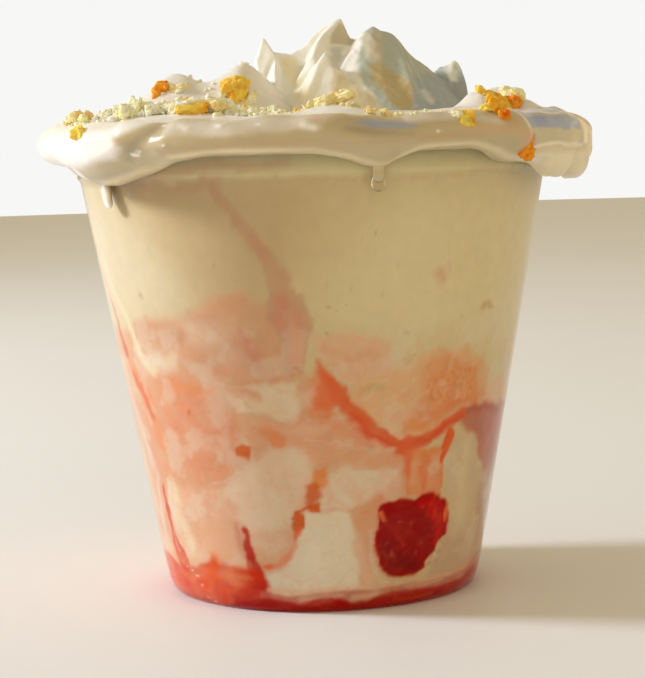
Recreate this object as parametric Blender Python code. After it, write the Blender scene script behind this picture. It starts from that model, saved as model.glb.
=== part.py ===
"""Strawberry banana pudding heaped in a clear plastic cup, with cream run over the rim.

Metres, +Z up. The origin is the centre of the cup's foot, on the surface it stands on. The front of the
cup faces -Y. A heading is an angle about +Z in degrees: 0 is the front, 90 is +X, 180 is the back.
"""

import math

import bmesh
import bpy
import numpy as np
from mathutils import Matrix, Vector, noise

MM = 0.001
GAP = 0.3 * MM  # clearance between pieces that touch
SEGMENTS = 56  # round the cup and everything turned about its axis

# Cup, outside sizes
CUP_HEIGHT = 87.0 * MM
RIM_RADIUS = 49.0 * MM
ROLL_WIDTH = 3.9 * MM
ROLL_HEIGHT = 3.5 * MM
WALL = 0.55 * MM
RING_HEIGHT = 4.3 * MM  # the stacking ring that the straight wall stands on
RING_RADIUS = 30.4 * MM
STEP_HEIGHT = 79.0 * MM  # the shoulder step under the rim
STEP_RADIUS = 44.25 * MM
STEP_OUT = 0.65 * MM
FOOT_OUTER = 28.4 * MM
FOOT_INNER = 26.2 * MM
PUNT_HEIGHT = 2.3 * MM  # how far the middle of the base is raised

# Contents
LAYER_TOP = 84.2 * MM  # where the pudding ends and the cream layer starts
SAUCE_DEPTH = 4.9 * MM  # top of the strawberry sauce over the resting plane
SAUCE_RISE = 3.6 * MM  # how much higher it stands at the front left
SAUCE_RISE_HEADING = -50.0
SAUCE_RISE_SPREAD = 26.0

# Cream layer
CREAM_EDGE_TOP = 89.1 * MM  # its top face over the rim
CREAM_CROWN = 1.2 * MM  # how much higher the middle is
ROLL_CENTRE_Z = 85.6 * MM  # height at which the overhanging cream is widest
ROLL_CENTRE_R = 47.6 * MM
CREAM_OVERHANG = 52.3 * MM  # radius of the overhanging cream
CREAM_LIP = 83.1 * MM  # lower edge of the cream where it only covers the rim

# Heaps on the cream: x, y, height, spread
HEAPS = (
    (-38.0, 1.0, 3.2, 8.5),
    (-27.5, -3.0, 5.6, 7.5),
    (-14.0, -3.0, 6.2, 8.0),
    (-22.0, -24.0, 1.6, 9.0),
    (36.5, -8.0, 4.6, 5.5),
    (9.0, 30.0, 3.4, 9.0),
    (-20.0, 26.0, 3.8, 9.0),
    (31.0, 22.0, 3.2, 8.0),
    (5.0, -40.0, 1.7, 4.2),
)

# Where the cream hangs lower over the rim: heading, spread in degrees, drop
LOBES = (
    (-51.0, 12.0, 4.9),
    (-66.0, 7.0, 1.6),
    (12.5, 4.3, 2.4),
    (48.0, 7.0, 2.7),
    (74.0, 9.0, 2.2),
    (104.0, 10.0, 2.6),
    (139.0, 12.0, 4.2),
    (178.0, 9.0, 2.4),
    (-150.0, 12.0, 4.4),
    (-112.0, 10.0, 2.6),
    (-84.0, 8.0, 1.6),
)

# Where the cream stands further out from the rim: heading, spread, extra radius
BULGES = (
    (86.0, 30.0, 1.4),
    (-47.0, 12.0, 0.7),
    (-90.0, 24.0, -0.1),
    (0.0, 30.0, -0.5),
    (180.0, 40.0, -0.5),
)

# Drips under the cream: heading, radius, top, bottom, thickness
DRIPS = (
    (14.4, 46.3, 82.2, 76.4, 2.0),
    (-57.0, 45.9, 79.6, 74.3, 2.2),
    (60.5, 48.7, 83.0, 77.8, 3.2),
    (72.0, 50.0, 83.6, 77.4, 3.6),
    (84.0, 51.3, 83.6, 79.8, 3.0),
)

# Whipped cream dollop, in millimetres: a mound and the ridges that stand on it
DOLLOP_CENTRE = (9.9, -0.6)
DOLLOP_RADII = (20.3, 18.2)
DOLLOP_BASE = 89.5
DOLLOP_CROWN = 10.0
DOLLOP_KEPT = 0.12  # share of the modelled faces that is kept
DOLLOP_BLEND = 0.55  # how softly one ridge runs into the next
# Each ridge: slope of its left flank and of its right flank as seen along it, roundness of its crest,
# then its crest as x, y, height over the resting plane
RIDGES = (
    (2.2, 6.0, 0.5, (-6.8, -10.0, 93.6), (-6.4, -7.4, 98.2), (-6.6, -4.8, 101.8), (-7.8, -3.4, 105.4)),
    (1.6, 1.15, 0.5, (-7.4, -3.2, 102.6), (-4.5, -2.2, 101.9), (-1.2, -1.0, 102.6), (1.6, -0.3, 104.8),
     (3.7, 0.0, 107.2), (5.3, 0.2, 108.3)),
    (3.2, 1.3, 0.4, (5.3, 0.2, 108.3), (3.5, -2.6, 106.2), (2.1, -4.6, 104.0), (1.4, -6.2, 101.4), (2.6, -7.2, 98.6)),
    (2.2, 2.6, 0.4, (5.3, 0.2, 108.3), (7.0, 0.9, 105.8), (8.8, 1.2, 103.0)),
    (1.2, 3.0, 0.5, (12.0, -1.5, 106.2), (10.6, -3.2, 104.1), (8.2, -5.0, 102.4), (6.8, -6.6, 101.3), (5.6, -8.2, 98.8)),
    (1.3, 1.05, 2.4, (12.2, -1.4, 106.2), (14.4, -1.0, 105.6), (16.6, -0.8, 104.6), (18.6, 0.0, 102.4),
     (20.4, 0.5, 100.5), (24.2, 1.2, 97.3), (28.4, 2.0, 92.6)),
    (0.9, 2.4, 0.9, (8.2, -6.0, 102.0), (10.4, -9.0, 99.2), (12.6, -12.6, 95.8), (14.4, -16.0, 91.8)),
    (2.2, 0.95, 1.2, (15.4, -1.6, 105.0), (16.4, -5.0, 102.6), (17.8, -8.8, 99.4), (19.2, -12.4, 95.8), (20.2, -15.0, 91.8)),
    (3.0, 1.7, 0.4, (3.2, -10.4, 101.6), (4.0, -11.2, 99.8), (5.4, -12.4, 98.2), (7.0, -13.4, 96.4),
     (9.6, -14.8, 94.4), (11.6, -16.0, 92.2)),
    (1.5, 2.8, 0.4, (3.2, -10.4, 101.6), (2.6, -12.2, 97.4), (2.2, -14.0, 93.2)),
    (1.4, 1.0, 0.9, (22.4, 8.0, 96.8), (25.2, 6.8, 99.2), (27.4, 6.0, 100.2), (28.6, 5.4, 98.6)),
    (1.1, 1.1, 1.4, (8.0, 2.6, 105.0), (4.6, 9.0, 99.6), (1.6, 14.4, 93.4)),
    (1.1, 1.1, 1.4, (15.8, 3.0, 104.0), (16.4, 9.4, 99.0), (13.8, 15.4, 92.6)),
    (1.3, 1.3, 1.2, (-4.8, -1.6, 102.0), (-6.4, 4.6, 97.8), (-6.6, 9.0, 92.6)),
)
# Tips that curl over: x, y, reach of the curl, sideways shift at the tip
CURLS = (
    (-7.8, -3.4, 2.2, -0.9),
    (5.3, 0.2, 2.2, 0.7),
    (12.5, -1.5, 1.8, 0.5),
)

# Cake and wafer pieces on the cream: x, y, sizes, turn in degrees, height of the middle over the cream
CAKE_PIECES = {
    "cake_piece_right": (34.6, -21.0, (8.2, 6.2, 5.6), 24.0, 1.6),
    "cake_piece_left": (-13.4, -18.5, (5.4, 5.0, 6.0), -12.0, 1.8),
    "cake_piece_far_left": (-25.6, -14.5, (5.2, 5.0, 4.6), 35.0, 1.4),
    "wafer_slice_front": (-19.4, -33.5, (8.4, 5.4, 3.0), 14.0, 0.7),
    "wafer_heap_front": (4.2, -37.0, (6.8, 4.4, 3.4), -6.0, 0.9),
    "cake_piece_back": (-17.0, 27.0, (7.0, 6.0, 5.2), 50.0, 1.5),
    "cake_piece_back_right": (23.0, 29.0, (6.4, 5.6, 4.6), -25.0, 1.3),
    "wafer_slice_back": (-36.0, 15.0, (7.6, 5.2, 3.0), -40.0, 0.8),
}

# Fruit and cake seen through the wall
BERRY_HEADING, BERRY_HEIGHT = 31.5, 13.2 * MM
BERRY_SIZES = (14.6, 9.5, 14.2)  # along the wall, into the cup, upwards
SOAKED_HEADING, SOAKED_HEIGHT = 41.0, 40.6 * MM
SOAKED_SIZES = (13.0, 7.0, 7.6)

COLOURS = {
    "clear_plastic": (0.93, 0.94, 0.93, 0.10, 0.0),
    "pudding": (0.86, 0.74, 0.47, 0.45, 0.0),
    "strawberry_sauce": (0.55, 0.02, 0.01, 0.20, 0.0),
    "strawberry": (0.42, 0.01, 0.01, 0.25, 0.0),
    "cream": (0.90, 0.82, 0.64, 0.28, 0.0),
    "whipped_cream": (0.92, 0.88, 0.76, 0.45, 0.0),
    "cake": (0.86, 0.56, 0.12, 0.70, 0.0),
    "soaked_cake": (0.78, 0.30, 0.09, 0.50, 0.0),
}


def heading_point(heading, radius, height):
    """The point at a heading, a distance from the cup's axis and a height."""
    angle = math.radians(heading)
    return Vector((radius * math.sin(angle), -radius * math.cos(angle), height))


def heading_of(point):
    return math.degrees(math.atan2(point.x, -point.y))


def turned_by(first, second):
    """The angle between two headings, at most 180 degrees."""
    return abs((first - second + 180.0) % 360.0 - 180.0)


def bell(distance, spread):
    return math.exp(-0.5 * (distance / spread) ** 2)


def smooth_step(value):
    value = min(max(value, 0.0), 1.0)
    return value * value * (3.0 - 2.0 * value)


def mix(first, second, share):
    return first + (second - first) * share


def finish_object(name, bm, material):
    """Turns a bmesh into a named object with its material, shaded smooth but for sharp edges."""
    mesh = bpy.data.meshes.new(name)
    bm.to_mesh(mesh)
    bm.free()
    mesh.materials.append(bpy.data.materials[material])
    mesh.shade_smooth()
    mesh.set_sharp_from_angle(angle=math.radians(40.0))
    obj = bpy.data.objects.new(name, mesh)
    bpy.context.scene.collection.objects.link(obj)
    return obj


def make_materials():
    for name, (red, green, blue, roughness, metallic) in COLOURS.items():
        material = bpy.data.materials.new(name)
        material.use_nodes = True
        shader = material.node_tree.nodes["Principled BSDF"]
        shader.inputs["Base Color"].default_value = (red, green, blue, 1.0)
        shader.inputs["Roughness"].default_value = roughness
        shader.inputs["Metallic"].default_value = metallic
    plastic = bpy.data.materials["clear_plastic"].node_tree.nodes["Principled BSDF"]
    plastic.inputs["Transmission Weight"].default_value = 1.0


def stacked_rings(stations, place, closed_ends=True):
    """A closed skin of rings about the axis. place(station, heading) gives each point of a station's ring."""
    bm = bmesh.new()
    made = bmesh.ops.create_circle(bm, cap_ends=False, radius=1.0, segments=SEGMENTS)
    ring = made["verts"]
    headings = {vert: heading_of(vert.co) for vert in ring}
    edges = list(bm.edges)
    for vert in ring:
        vert.co = place(stations[0], headings[vert])
    first_edges = list(edges)
    for station in stations[1:]:
        grown = bmesh.ops.extrude_edge_only(bm, edges=edges)["geom"]
        edges = [item for item in grown if isinstance(item, bmesh.types.BMEdge)]
        fresh = [item for item in grown if isinstance(item, bmesh.types.BMVert)]
        by_place = {tuple(vert.co): headings[vert] for vert in ring}
        headings = {vert: by_place[tuple(vert.co)] for vert in fresh}
        for vert in fresh:
            vert.co = place(station, headings[vert])
        ring = fresh
    if closed_ends:
        for end in (first_edges, edges):
            bmesh.ops.contextual_create(bm, geom=end)
        bmesh.ops.poke(bm, faces=[face for face in bm.faces if len(face.verts) > 4])
    bmesh.ops.recalc_face_normals(bm, faces=bm.faces)
    bmesh.ops.triangulate(bm, faces=bm.faces)  # so that a piece and its raised or widened copy keep the same shape
    return bm


def wall_radius(height):
    """Outside radius of the cup's straight wall at a height."""
    share = (height - RING_HEIGHT) / (STEP_HEIGHT - RING_HEIGHT)
    return mix(RING_RADIUS, STEP_RADIUS, share)


def room_radius(height):
    """Inside radius of the cup at a height."""
    if height > STEP_HEIGHT + STEP_OUT:
        return STEP_RADIUS + STEP_OUT - WALL
    if height > STEP_HEIGHT:
        share = (height - STEP_HEIGHT) / STEP_OUT
        return mix(STEP_RADIUS, STEP_RADIUS + STEP_OUT, share) - WALL
    if height > RING_HEIGHT:
        return wall_radius(height) - WALL
    drop = (RING_HEIGHT - height) / (RING_HEIGHT - 0.7 * MM)
    return mix(RING_RADIUS, FOOT_OUTER, drop**1.6) - WALL


def cup_profile():
    """(radius, height) from the middle of the underside, up the outside, over the rim and down the inside."""
    under = [
        (1.0 * MM, PUNT_HEIGHT),
        (FOOT_INNER - 1.8 * MM, PUNT_HEIGHT),
        (FOOT_INNER - 0.5 * MM, 0.5 * MM),
        (FOOT_INNER, 0.0),
        (FOOT_OUTER, 0.0),
        (FOOT_OUTER + 1.2 * MM, 1.2 * MM),
        (RING_RADIUS - 0.15 * MM, RING_HEIGHT - 1.1 * MM),
        (RING_RADIUS - 0.15 * MM, RING_HEIGHT - 0.3 * MM),
        (RING_RADIUS + 0.12 * MM, RING_HEIGHT + 0.2 * MM),
    ]
    shoulder = [
        (STEP_RADIUS, STEP_HEIGHT),
        (STEP_RADIUS + STEP_OUT, STEP_HEIGHT + STEP_OUT),
        (STEP_RADIUS + STEP_OUT, CUP_HEIGHT - ROLL_HEIGHT),
    ]
    middle_r = RIM_RADIUS - ROLL_WIDTH / 2
    middle_z = CUP_HEIGHT - ROLL_HEIGHT / 2
    roll = [
        (
            middle_r + ROLL_WIDTH / 2 * math.cos(math.radians(turn)),
            middle_z + ROLL_HEIGHT / 2 * math.sin(math.radians(turn)),
        )
        for turn in range(-105, 151, 36)
    ]
    inside_heights = (CUP_HEIGHT - ROLL_HEIGHT / 2, STEP_HEIGHT + STEP_OUT, STEP_HEIGHT, RING_HEIGHT)
    inside = [(room_radius(height + 1e-9), height) for height in inside_heights]
    floor = [
        (RING_RADIUS - 1.3 * MM, 1.8 * MM),
        (FOOT_OUTER - 0.4 * MM, 0.7 * MM),
        (FOOT_INNER + 0.2 * MM, 0.7 * MM),
        (FOOT_INNER - 1.4 * MM, PUNT_HEIGHT + WALL),
        (1.0 * MM, PUNT_HEIGHT + WALL),
    ]
    return under + shoulder + roll + inside + floor


def make_cup():
    bm = stacked_rings(cup_profile(), lambda station, heading: heading_point(heading, *station))
    return finish_object("cup", bm, "clear_plastic")


def sauce_top(heading):
    """Height of the sauce's top at the wall."""
    rise = SAUCE_RISE * bell(turned_by(heading, SAUCE_RISE_HEADING), SAUCE_RISE_SPREAD)
    ripple = 0.35 * MM * math.sin(math.radians(5.0 * heading)) + 0.25 * MM * math.cos(math.radians(3.0 * heading))
    return SAUCE_DEPTH + rise + ripple


def make_sauce():
    """The pool of strawberry sauce in the bottom of the cup."""
    floor_z = PUNT_HEIGHT + WALL + GAP
    rings = [
        (1.0 * MM, floor_z),
        (FOOT_INNER - 1.6 * MM, floor_z),
        (FOOT_INNER + 0.1 * MM, 1.0 * MM),
        (FOOT_OUTER - 0.7 * MM, 1.0 * MM),
        (RING_RADIUS - 1.7 * MM, 2.0 * MM),
        "edge",
        ("inner", 0.72),
        ("inner", 0.03),
    ]

    def place(station, heading):
        top = sauce_top(heading)
        if station == "edge":
            return heading_point(heading, room_radius(top) - GAP, top)
        if station[0] == "inner":
            share = station[1]
            return heading_point(heading, room_radius(top) * share, mix(SAUCE_DEPTH - 0.4 * MM, top, share**3))
        return heading_point(heading, *station)

    return finish_object("strawberry_sauce", stacked_rings(rings, place), "strawberry_sauce")


def make_pudding(name):
    """The pudding that fills the cup, from the sauce to the cream layer."""
    heights = (40.0 * MM, STEP_HEIGHT, STEP_HEIGHT + STEP_OUT + 0.3 * MM, LAYER_TOP - GAP)
    rings = [("inner", 0.03), ("inner", 0.72), "edge", *heights, "lid"]

    def place(station, heading):
        top = sauce_top(heading) + GAP
        if station == "edge":
            return heading_point(heading, room_radius(top) - GAP, top)
        if station == "lid":
            return heading_point(heading, 1.0 * MM, LAYER_TOP - GAP)
        if isinstance(station, tuple):
            share = station[1]
            return heading_point(heading, room_radius(top) * share, mix(SAUCE_DEPTH - 0.4 * MM + GAP, top, share**3))
        return heading_point(heading, room_radius(station) - GAP, station)

    return finish_object(name, stacked_rings(rings, place), "pudding")


def lump(sizes, roughness, seed, cuts=3, roundness=0.75):
    """A rounded, uneven block about the origin, made from a cube."""
    bm = bmesh.new()
    bmesh.ops.create_cube(bm, size=2.0)
    bmesh.ops.subdivide_edges(bm, edges=bm.edges, cuts=cuts, use_grid_fill=True)
    for vert in bm.verts:
        ball = vert.co.normalized()
        shape = vert.co.lerp(ball, roundness)
        swell = 1.0 + roughness * noise.noise(ball * 1.9 + Vector((seed, 0.0, 0.0)))
        vert.co = Vector(side * half * swell for side, half in zip(shape, (size * MM / 2 for size in sizes)))
    bmesh.ops.triangulate(bm, faces=bm.faces)
    return bm


def place_by_wall(bm, heading, height, depth):
    """Moves a lump to the inside of the wall, with its middle a little way in."""
    middle = heading_point(heading, room_radius(height) - depth, height)
    bm.transform(Matrix.Translation(middle) @ Matrix.Rotation(math.radians(heading), 4, "Z"))


def hide_cutter(obj):
    obj.hide_render = True
    obj.display_type = "WIRE"


def cut(obj, operation, cutter):
    """Adds a Boolean of one object on another."""
    step = obj.modifiers.new(operation.lower(), "BOOLEAN")
    step.operation = operation
    step.object = cutter


def make_bedded_piece(name, material, pudding, whole, sizes, heading, height, roughness, seed, roundness):
    """A piece that lies in the pudding against the wall, and the hollow that it fills."""
    depth = 0.22 * sizes[1] * MM
    piece = lump(sizes, roughness, seed, roundness=roundness)
    place_by_wall(piece, heading, height, depth)
    obj = finish_object(name, piece, material)
    cut(obj, "INTERSECT", whole)
    wider = lump([size + 3.0 * GAP / MM for size in sizes], roughness, seed, roundness=roundness)
    place_by_wall(wider, heading, height, depth)
    hollow = finish_object(name + "_hollow", wider, material)
    hide_cutter(hollow)
    cut(pudding, "DIFFERENCE", hollow)


def cream_height(x, y):
    """Height of the cream layer's top face, in metres, from x and y in metres."""
    reach = math.hypot(x, y) / RIM_RADIUS
    height = CREAM_EDGE_TOP + CREAM_CROWN * (1.0 - min(reach, 1.0) ** 2)
    for heap_x, heap_y, rise, spread in HEAPS:
        away = math.hypot(x / MM - heap_x, y / MM - heap_y)
        height += rise * MM * bell(away, spread) * smooth_step((1.02 - reach) / 0.12)
    return height + 0.35 * MM * noise.noise(Vector((x, y, 0.0)) * 130.0)


def cream_shape(heading):
    """(lower edge, overhang radius, how far the cream leans back to the wall) at a heading."""
    drop = sum(fall * MM * bell(turned_by(heading, at), spread) for at, spread, fall in LOBES)
    lip = CREAM_LIP - drop + 0.25 * MM * math.sin(math.radians(9.0 * heading))
    out = CREAM_OVERHANG + sum(more * MM * bell(turned_by(heading, at), spread) for at, spread, more in BULGES)
    return lip, out, smooth_step(drop / (2.4 * MM))


def make_cream():
    """The cream layer: its underside, the groove round the rim, the part that hangs outside and the heaped top."""
    shoulder = STEP_RADIUS + STEP_OUT
    inside = shoulder - WALL - GAP
    groove = [
        (inside, LAYER_TOP),
        (inside, CUP_HEIGHT - 1.6 * MM),
        (inside + 0.7 * MM, CUP_HEIGHT - 0.1 * MM),
        (RIM_RADIUS - 2.6 * MM, CUP_HEIGHT + 0.35 * MM),
        (RIM_RADIUS - 0.5 * MM, CUP_HEIGHT - 0.1 * MM),
        (RIM_RADIUS + 0.35 * MM, CUP_HEIGHT - 1.6 * MM),
        (RIM_RADIUS + 0.2 * MM, CUP_HEIGHT - ROLL_HEIGHT + 0.6 * MM),
        (RIM_RADIUS - 0.45 * MM, CUP_HEIGHT - ROLL_HEIGHT - 0.2 * MM),
    ]
    outer_turns = (-90.0, -62.0, -34.0, -6.0, 22.0, 50.0, 75.0)
    top_radii = (47.0, 43.0, 38.0, 33.0, 28.0, 22.5, 17.0, 11.0, 5.0, 1.0)
    stations = (
        [("ring", 1.0 * MM, LAYER_TOP), ("ring", 24.0 * MM, LAYER_TOP)]
        + [("ring", *point) for point in groove]
        + [("under", 0), ("under", 1)]
        + [("outer", turn) for turn in outer_turns]
        + [("top", radius * MM) for radius in top_radii]
    )

    def place(station, heading):
        kind, value = station[:2]
        if kind == "ring":
            return heading_point(heading, value, station[2])
        lip, out, lean = cream_shape(heading)
        tuck = mix(RIM_RADIUS - 0.6 * MM, shoulder + GAP, lean)
        if kind == "under":
            corner = CUP_HEIGHT - ROLL_HEIGHT - GAP
            return heading_point(heading, tuck, corner if value == 0 else min(corner - 0.15 * MM, lip + 0.5 * MM))
        if kind == "outer":
            turn = math.radians(value)
            below = math.sin(turn) < 0.0
            edge = cream_height(*heading_point(heading, 47.0 * MM, 0.0).xy)
            half = ROLL_CENTRE_Z - lip if below else edge - ROLL_CENTRE_Z
            height = ROLL_CENTRE_Z + half * math.sin(turn)
            fallen = (ROLL_CENTRE_Z - height) / half if below else 0.0
            middle = mix(ROLL_CENTRE_R, tuck + 0.35 * MM, fallen**1.5) if below else ROLL_CENTRE_R
            return heading_point(heading, middle + (out - ROLL_CENTRE_R) * math.cos(turn), height)
        spot = heading_point(heading, value, 0.0)
        return Vector((spot.x, spot.y, cream_height(spot.x, spot.y)))

    return stacked_rings(stations, place)


def make_drip(heading, radius, top, bottom, thickness):
    """A drip under the cream: a stretched ball that swells towards its lower end."""
    length = (top - bottom) * MM
    bm = bmesh.new()
    bmesh.ops.create_icosphere(bm, subdivisions=2, radius=0.5)
    for vert in bm.verts:
        low = 0.5 - vert.co.z
        vert.co.x *= mix(0.75, 1.1, low)
        vert.co.y *= mix(0.6, 0.8, low)
    bm.transform(Matrix.Diagonal((thickness * MM, thickness * MM, length, 1.0)))
    bm.transform(Matrix.Rotation(math.radians(heading), 4, "Z"))
    bm.transform(Matrix.Translation(heading_point(heading, radius * MM, bottom * MM + length / 2)))
    for vert in bm.verts:
        reach = math.hypot(vert.co.x, vert.co.y)
        least = (wall_radius(vert.co.z) if vert.co.z < STEP_HEIGHT else STEP_RADIUS + STEP_OUT) + GAP
        if vert.co.z > CUP_HEIGHT - ROLL_HEIGHT - GAP:
            least = RIM_RADIUS + GAP
        if reach < least:
            vert.co.x *= least / reach
            vert.co.y *= least / reach
    return bm


def fuse(obj, pieces):
    """Joins loose pieces to obj by one Boolean union, and removes them."""
    group = bpy.data.collections.new(obj.name + "_extras")
    bpy.context.scene.collection.children.link(group)
    for index, bm in enumerate(pieces):
        mesh = bpy.data.meshes.new(f"extra_{index}")
        bm.to_mesh(mesh)
        bm.free()
        group.objects.link(bpy.data.objects.new(mesh.name, mesh))
    union = obj.modifiers.new("extras", "BOOLEAN")
    union.operation = "UNION"
    union.operand_type = "COLLECTION"
    union.collection = group
    apply_modifiers(obj)
    for extra in list(group.objects):
        bpy.data.objects.remove(extra)
    bpy.data.collections.remove(group)


def apply_modifiers(obj):
    """Replaces an object's mesh by what its modifiers make of it."""
    graph = bpy.context.evaluated_depsgraph_get()
    made = bpy.data.meshes.new_from_object(obj.evaluated_get(graph))
    obj.modifiers.clear()
    obj.data = made


def ridge_height(x, y, ridge):
    """How high a ridge and its flanks stand over an array of places. Its crest is followed by straight runs."""
    left, right, roundness, crest = ridge[0], ridge[1], ridge[2], ridge[3:]
    nearest = np.full(x.shape, np.inf)
    height = np.zeros(x.shape)
    for start, end in zip(crest, crest[1:]):
        run_x, run_y = end[0] - start[0], end[1] - start[1]
        off_x, off_y = x - start[0], y - start[1]
        along = np.clip((off_x * run_x + off_y * run_y) / (run_x**2 + run_y**2), 0.0, 1.0)
        away = np.hypot(off_x - along * run_x, off_y - along * run_y)
        side = np.where(run_x * off_y - run_y * off_x > 0.0, left, right)
        level = start[2] + (end[2] - start[2]) * along - side * (np.hypot(away, roundness) - roundness)
        height = np.where(away < nearest, level, height)
        nearest = np.minimum(nearest, away)
    return height


def dollop_height(x, y):
    """Height of the whipped cream's upper face over arrays of places, all in millimetres."""
    reach_x, reach_y = (x - DOLLOP_CENTRE[0]) / DOLLOP_RADII[0], (y - DOLLOP_CENTRE[1]) / DOLLOP_RADII[1]
    mound = DOLLOP_BASE + DOLLOP_CROWN * np.maximum(0.0, 1.0 - reach_x**2 - reach_y**2) ** 0.7
    levels = [mound] + [ridge_height(x, y, ridge) for ridge in RIDGES]
    return DOLLOP_BLEND * np.logaddexp.reduce(np.array(levels) / DOLLOP_BLEND, axis=0)


def make_dollop(cream_cutter):
    """The whipped cream: a disc of rings lifted to its ridges, its tips curled, cut to sit on the cream."""
    inner_rings, sides = 56, 168
    bm = bmesh.new()
    bmesh.ops.create_circle(bm, cap_ends=True, cap_tris=True, radius=1.0, segments=sides)
    spokes = [edge for edge in bm.edges if min(vert.co.length for vert in edge.verts) < 1e-6]
    bmesh.ops.subdivide_edges(bm, edges=spokes, cuts=inner_rings - 1, use_grid_fill=True)
    rim = [edge for edge in bm.edges if edge.is_boundary]
    grown = bmesh.ops.extrude_edge_only(bm, edges=rim)["geom"]
    low = {item for item in grown if isinstance(item, bmesh.types.BMVert)}
    bmesh.ops.contextual_create(bm, geom=[item for item in grown if isinstance(item, bmesh.types.BMEdge)])
    verts = list(bm.verts)
    flat = np.array([vert.co[:2] for vert in verts])
    x = DOLLOP_CENTRE[0] + flat[:, 0] * DOLLOP_RADII[0]
    y = DOLLOP_CENTRE[1] + flat[:, 1] * DOLLOP_RADII[1]
    z = dollop_height(x, y)
    for tip_x, tip_y, reach, shift in CURLS:
        near = np.exp(-0.5 * ((x - tip_x) ** 2 + (y - tip_y) ** 2) / reach**2)
        x = x + shift * near * np.clip((z - 101.0) / 7.0, 0.0, 1.0)
    for vert, place in zip(verts, np.stack([x, y, z], axis=1)):
        vert.co = Vector(place) * MM
        if vert in low:
            vert.co.z = (DOLLOP_BASE - 1.5) * MM
    bmesh.ops.recalc_face_normals(bm, faces=bm.faces)
    obj = finish_object("whipped_cream", bm, "whipped_cream")
    fewer = obj.modifiers.new("fewer_faces", "DECIMATE")
    fewer.ratio = DOLLOP_KEPT
    apply_modifiers(obj)
    cut(obj, "DIFFERENCE", cream_cutter)
    return obj


def make_cake_piece(name, x, y, sizes, turn, lift, seed, cutter):
    """A torn piece of cake or wafer that lies on the cream."""
    bm = lump(sizes, 0.5, seed, cuts=2, roundness=0.45)
    bm.transform(Matrix.Rotation(math.radians(turn), 4, "Z") @ Matrix.Rotation(math.radians(12.0), 4, "X"))
    bm.transform(Matrix.Translation(Vector((x * MM, y * MM, cream_height(x * MM, y * MM) + lift * MM))))
    obj = finish_object(name, bm, "cake")
    cut(obj, "DIFFERENCE", cutter)


def main():
    for obj in list(bpy.data.objects):
        bpy.data.objects.remove(obj)
    make_materials()
    make_cup()
    make_sauce()
    pudding = make_pudding("pudding")
    whole = make_pudding("pudding_whole")
    hide_cutter(whole)
    make_bedded_piece(
        "strawberry_piece", "strawberry", pudding, whole, BERRY_SIZES, BERRY_HEADING, BERRY_HEIGHT, 0.35, 3.0, 0.85
    )
    make_bedded_piece(
        "soaked_cake_piece", "soaked_cake", pudding, whole, SOAKED_SIZES, SOAKED_HEADING, SOAKED_HEIGHT, 0.3, 9.0, 0.45
    )
    bare = make_cream()
    raised = bare.copy()
    raised.transform(Matrix.Translation((0.0, 0.0, GAP)))
    cutter = finish_object("cream_raised", raised, "cream")
    hide_cutter(cutter)
    cream = finish_object("cream_layer", bare, "cream")
    fuse(cream, [make_drip(*drip) for drip in DRIPS])
    make_dollop(cutter)
    for seed, (name, (x, y, sizes, turn, lift)) in enumerate(CAKE_PIECES.items()):
        make_cake_piece(name, x, y, sizes, turn, lift, seed * 5.0, cutter)


main()
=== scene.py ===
"""The finish of a strawberry banana pudding in a clear plastic cup, with cream run over its rim.

Sizes are in millimetres until a mesh is made, +Z is up and the front of the cup faces -Y. A heading is an
angle about +Z in degrees: 0 is the front, 90 is +X, 180 is the back. Colours are sRGB from 0 to 255.
"""

import logging
import math
from collections.abc import Callable, Sequence
from dataclasses import dataclass, field
from enum import Enum

import bmesh
import bpy
import numpy as np
from mathutils import Matrix, Vector


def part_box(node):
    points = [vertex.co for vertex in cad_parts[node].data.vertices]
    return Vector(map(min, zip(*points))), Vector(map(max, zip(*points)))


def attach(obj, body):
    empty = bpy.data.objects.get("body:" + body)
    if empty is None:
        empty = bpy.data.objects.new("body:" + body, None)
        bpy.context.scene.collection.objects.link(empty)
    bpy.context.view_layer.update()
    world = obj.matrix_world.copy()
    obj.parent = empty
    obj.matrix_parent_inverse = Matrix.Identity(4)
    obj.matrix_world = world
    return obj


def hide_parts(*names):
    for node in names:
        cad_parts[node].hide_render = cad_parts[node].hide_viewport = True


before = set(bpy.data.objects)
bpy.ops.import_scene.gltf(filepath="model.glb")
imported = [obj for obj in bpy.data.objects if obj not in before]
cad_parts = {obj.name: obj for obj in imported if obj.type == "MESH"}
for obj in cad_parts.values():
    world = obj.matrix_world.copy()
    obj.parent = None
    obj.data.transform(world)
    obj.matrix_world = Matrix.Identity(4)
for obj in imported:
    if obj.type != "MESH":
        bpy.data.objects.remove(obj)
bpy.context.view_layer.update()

MM = 0.001
BODY = "root"
LOG = logging.getLogger("pudding_cup")

Point = tuple[float, ...]
Array = np.ndarray
Socket = bpy.types.NodeSocket


# ---------------------------------------------------------------- numbers


def bell(distance: Array | float, spread: float) -> Array:
    """A smooth bump of height 1 that has fallen to 0.6 one spread away."""
    return np.exp(-0.5 * (np.asarray(distance) / spread) ** 2)


def smooth_step(value: Array | float) -> Array:
    """Eases a value from 0 to 1."""
    value = np.clip(value, 0.0, 1.0)
    return value * value * (3.0 - 2.0 * value)


def turned_by(first: Array | float, second: Array | float) -> Array:
    """The signed angle from the second heading to the first, from -180 to 180 degrees."""
    return (np.asarray(first) - second + 180.0) % 360.0 - 180.0


def ring_points(heading: Array, radius: Array, height: Array) -> Array:
    """Points at headings, distances from the cup's axis and heights.

    Args:
        heading: Headings in degrees.
        radius: Distances from the axis.
        height: Heights over the resting plane.

    Returns:
        One row of x, y and z for each point.
    """
    angle = np.radians(heading)
    return np.stack(np.broadcast_arrays(radius * np.sin(angle), -radius * np.cos(angle), height), axis=-1)


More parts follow.
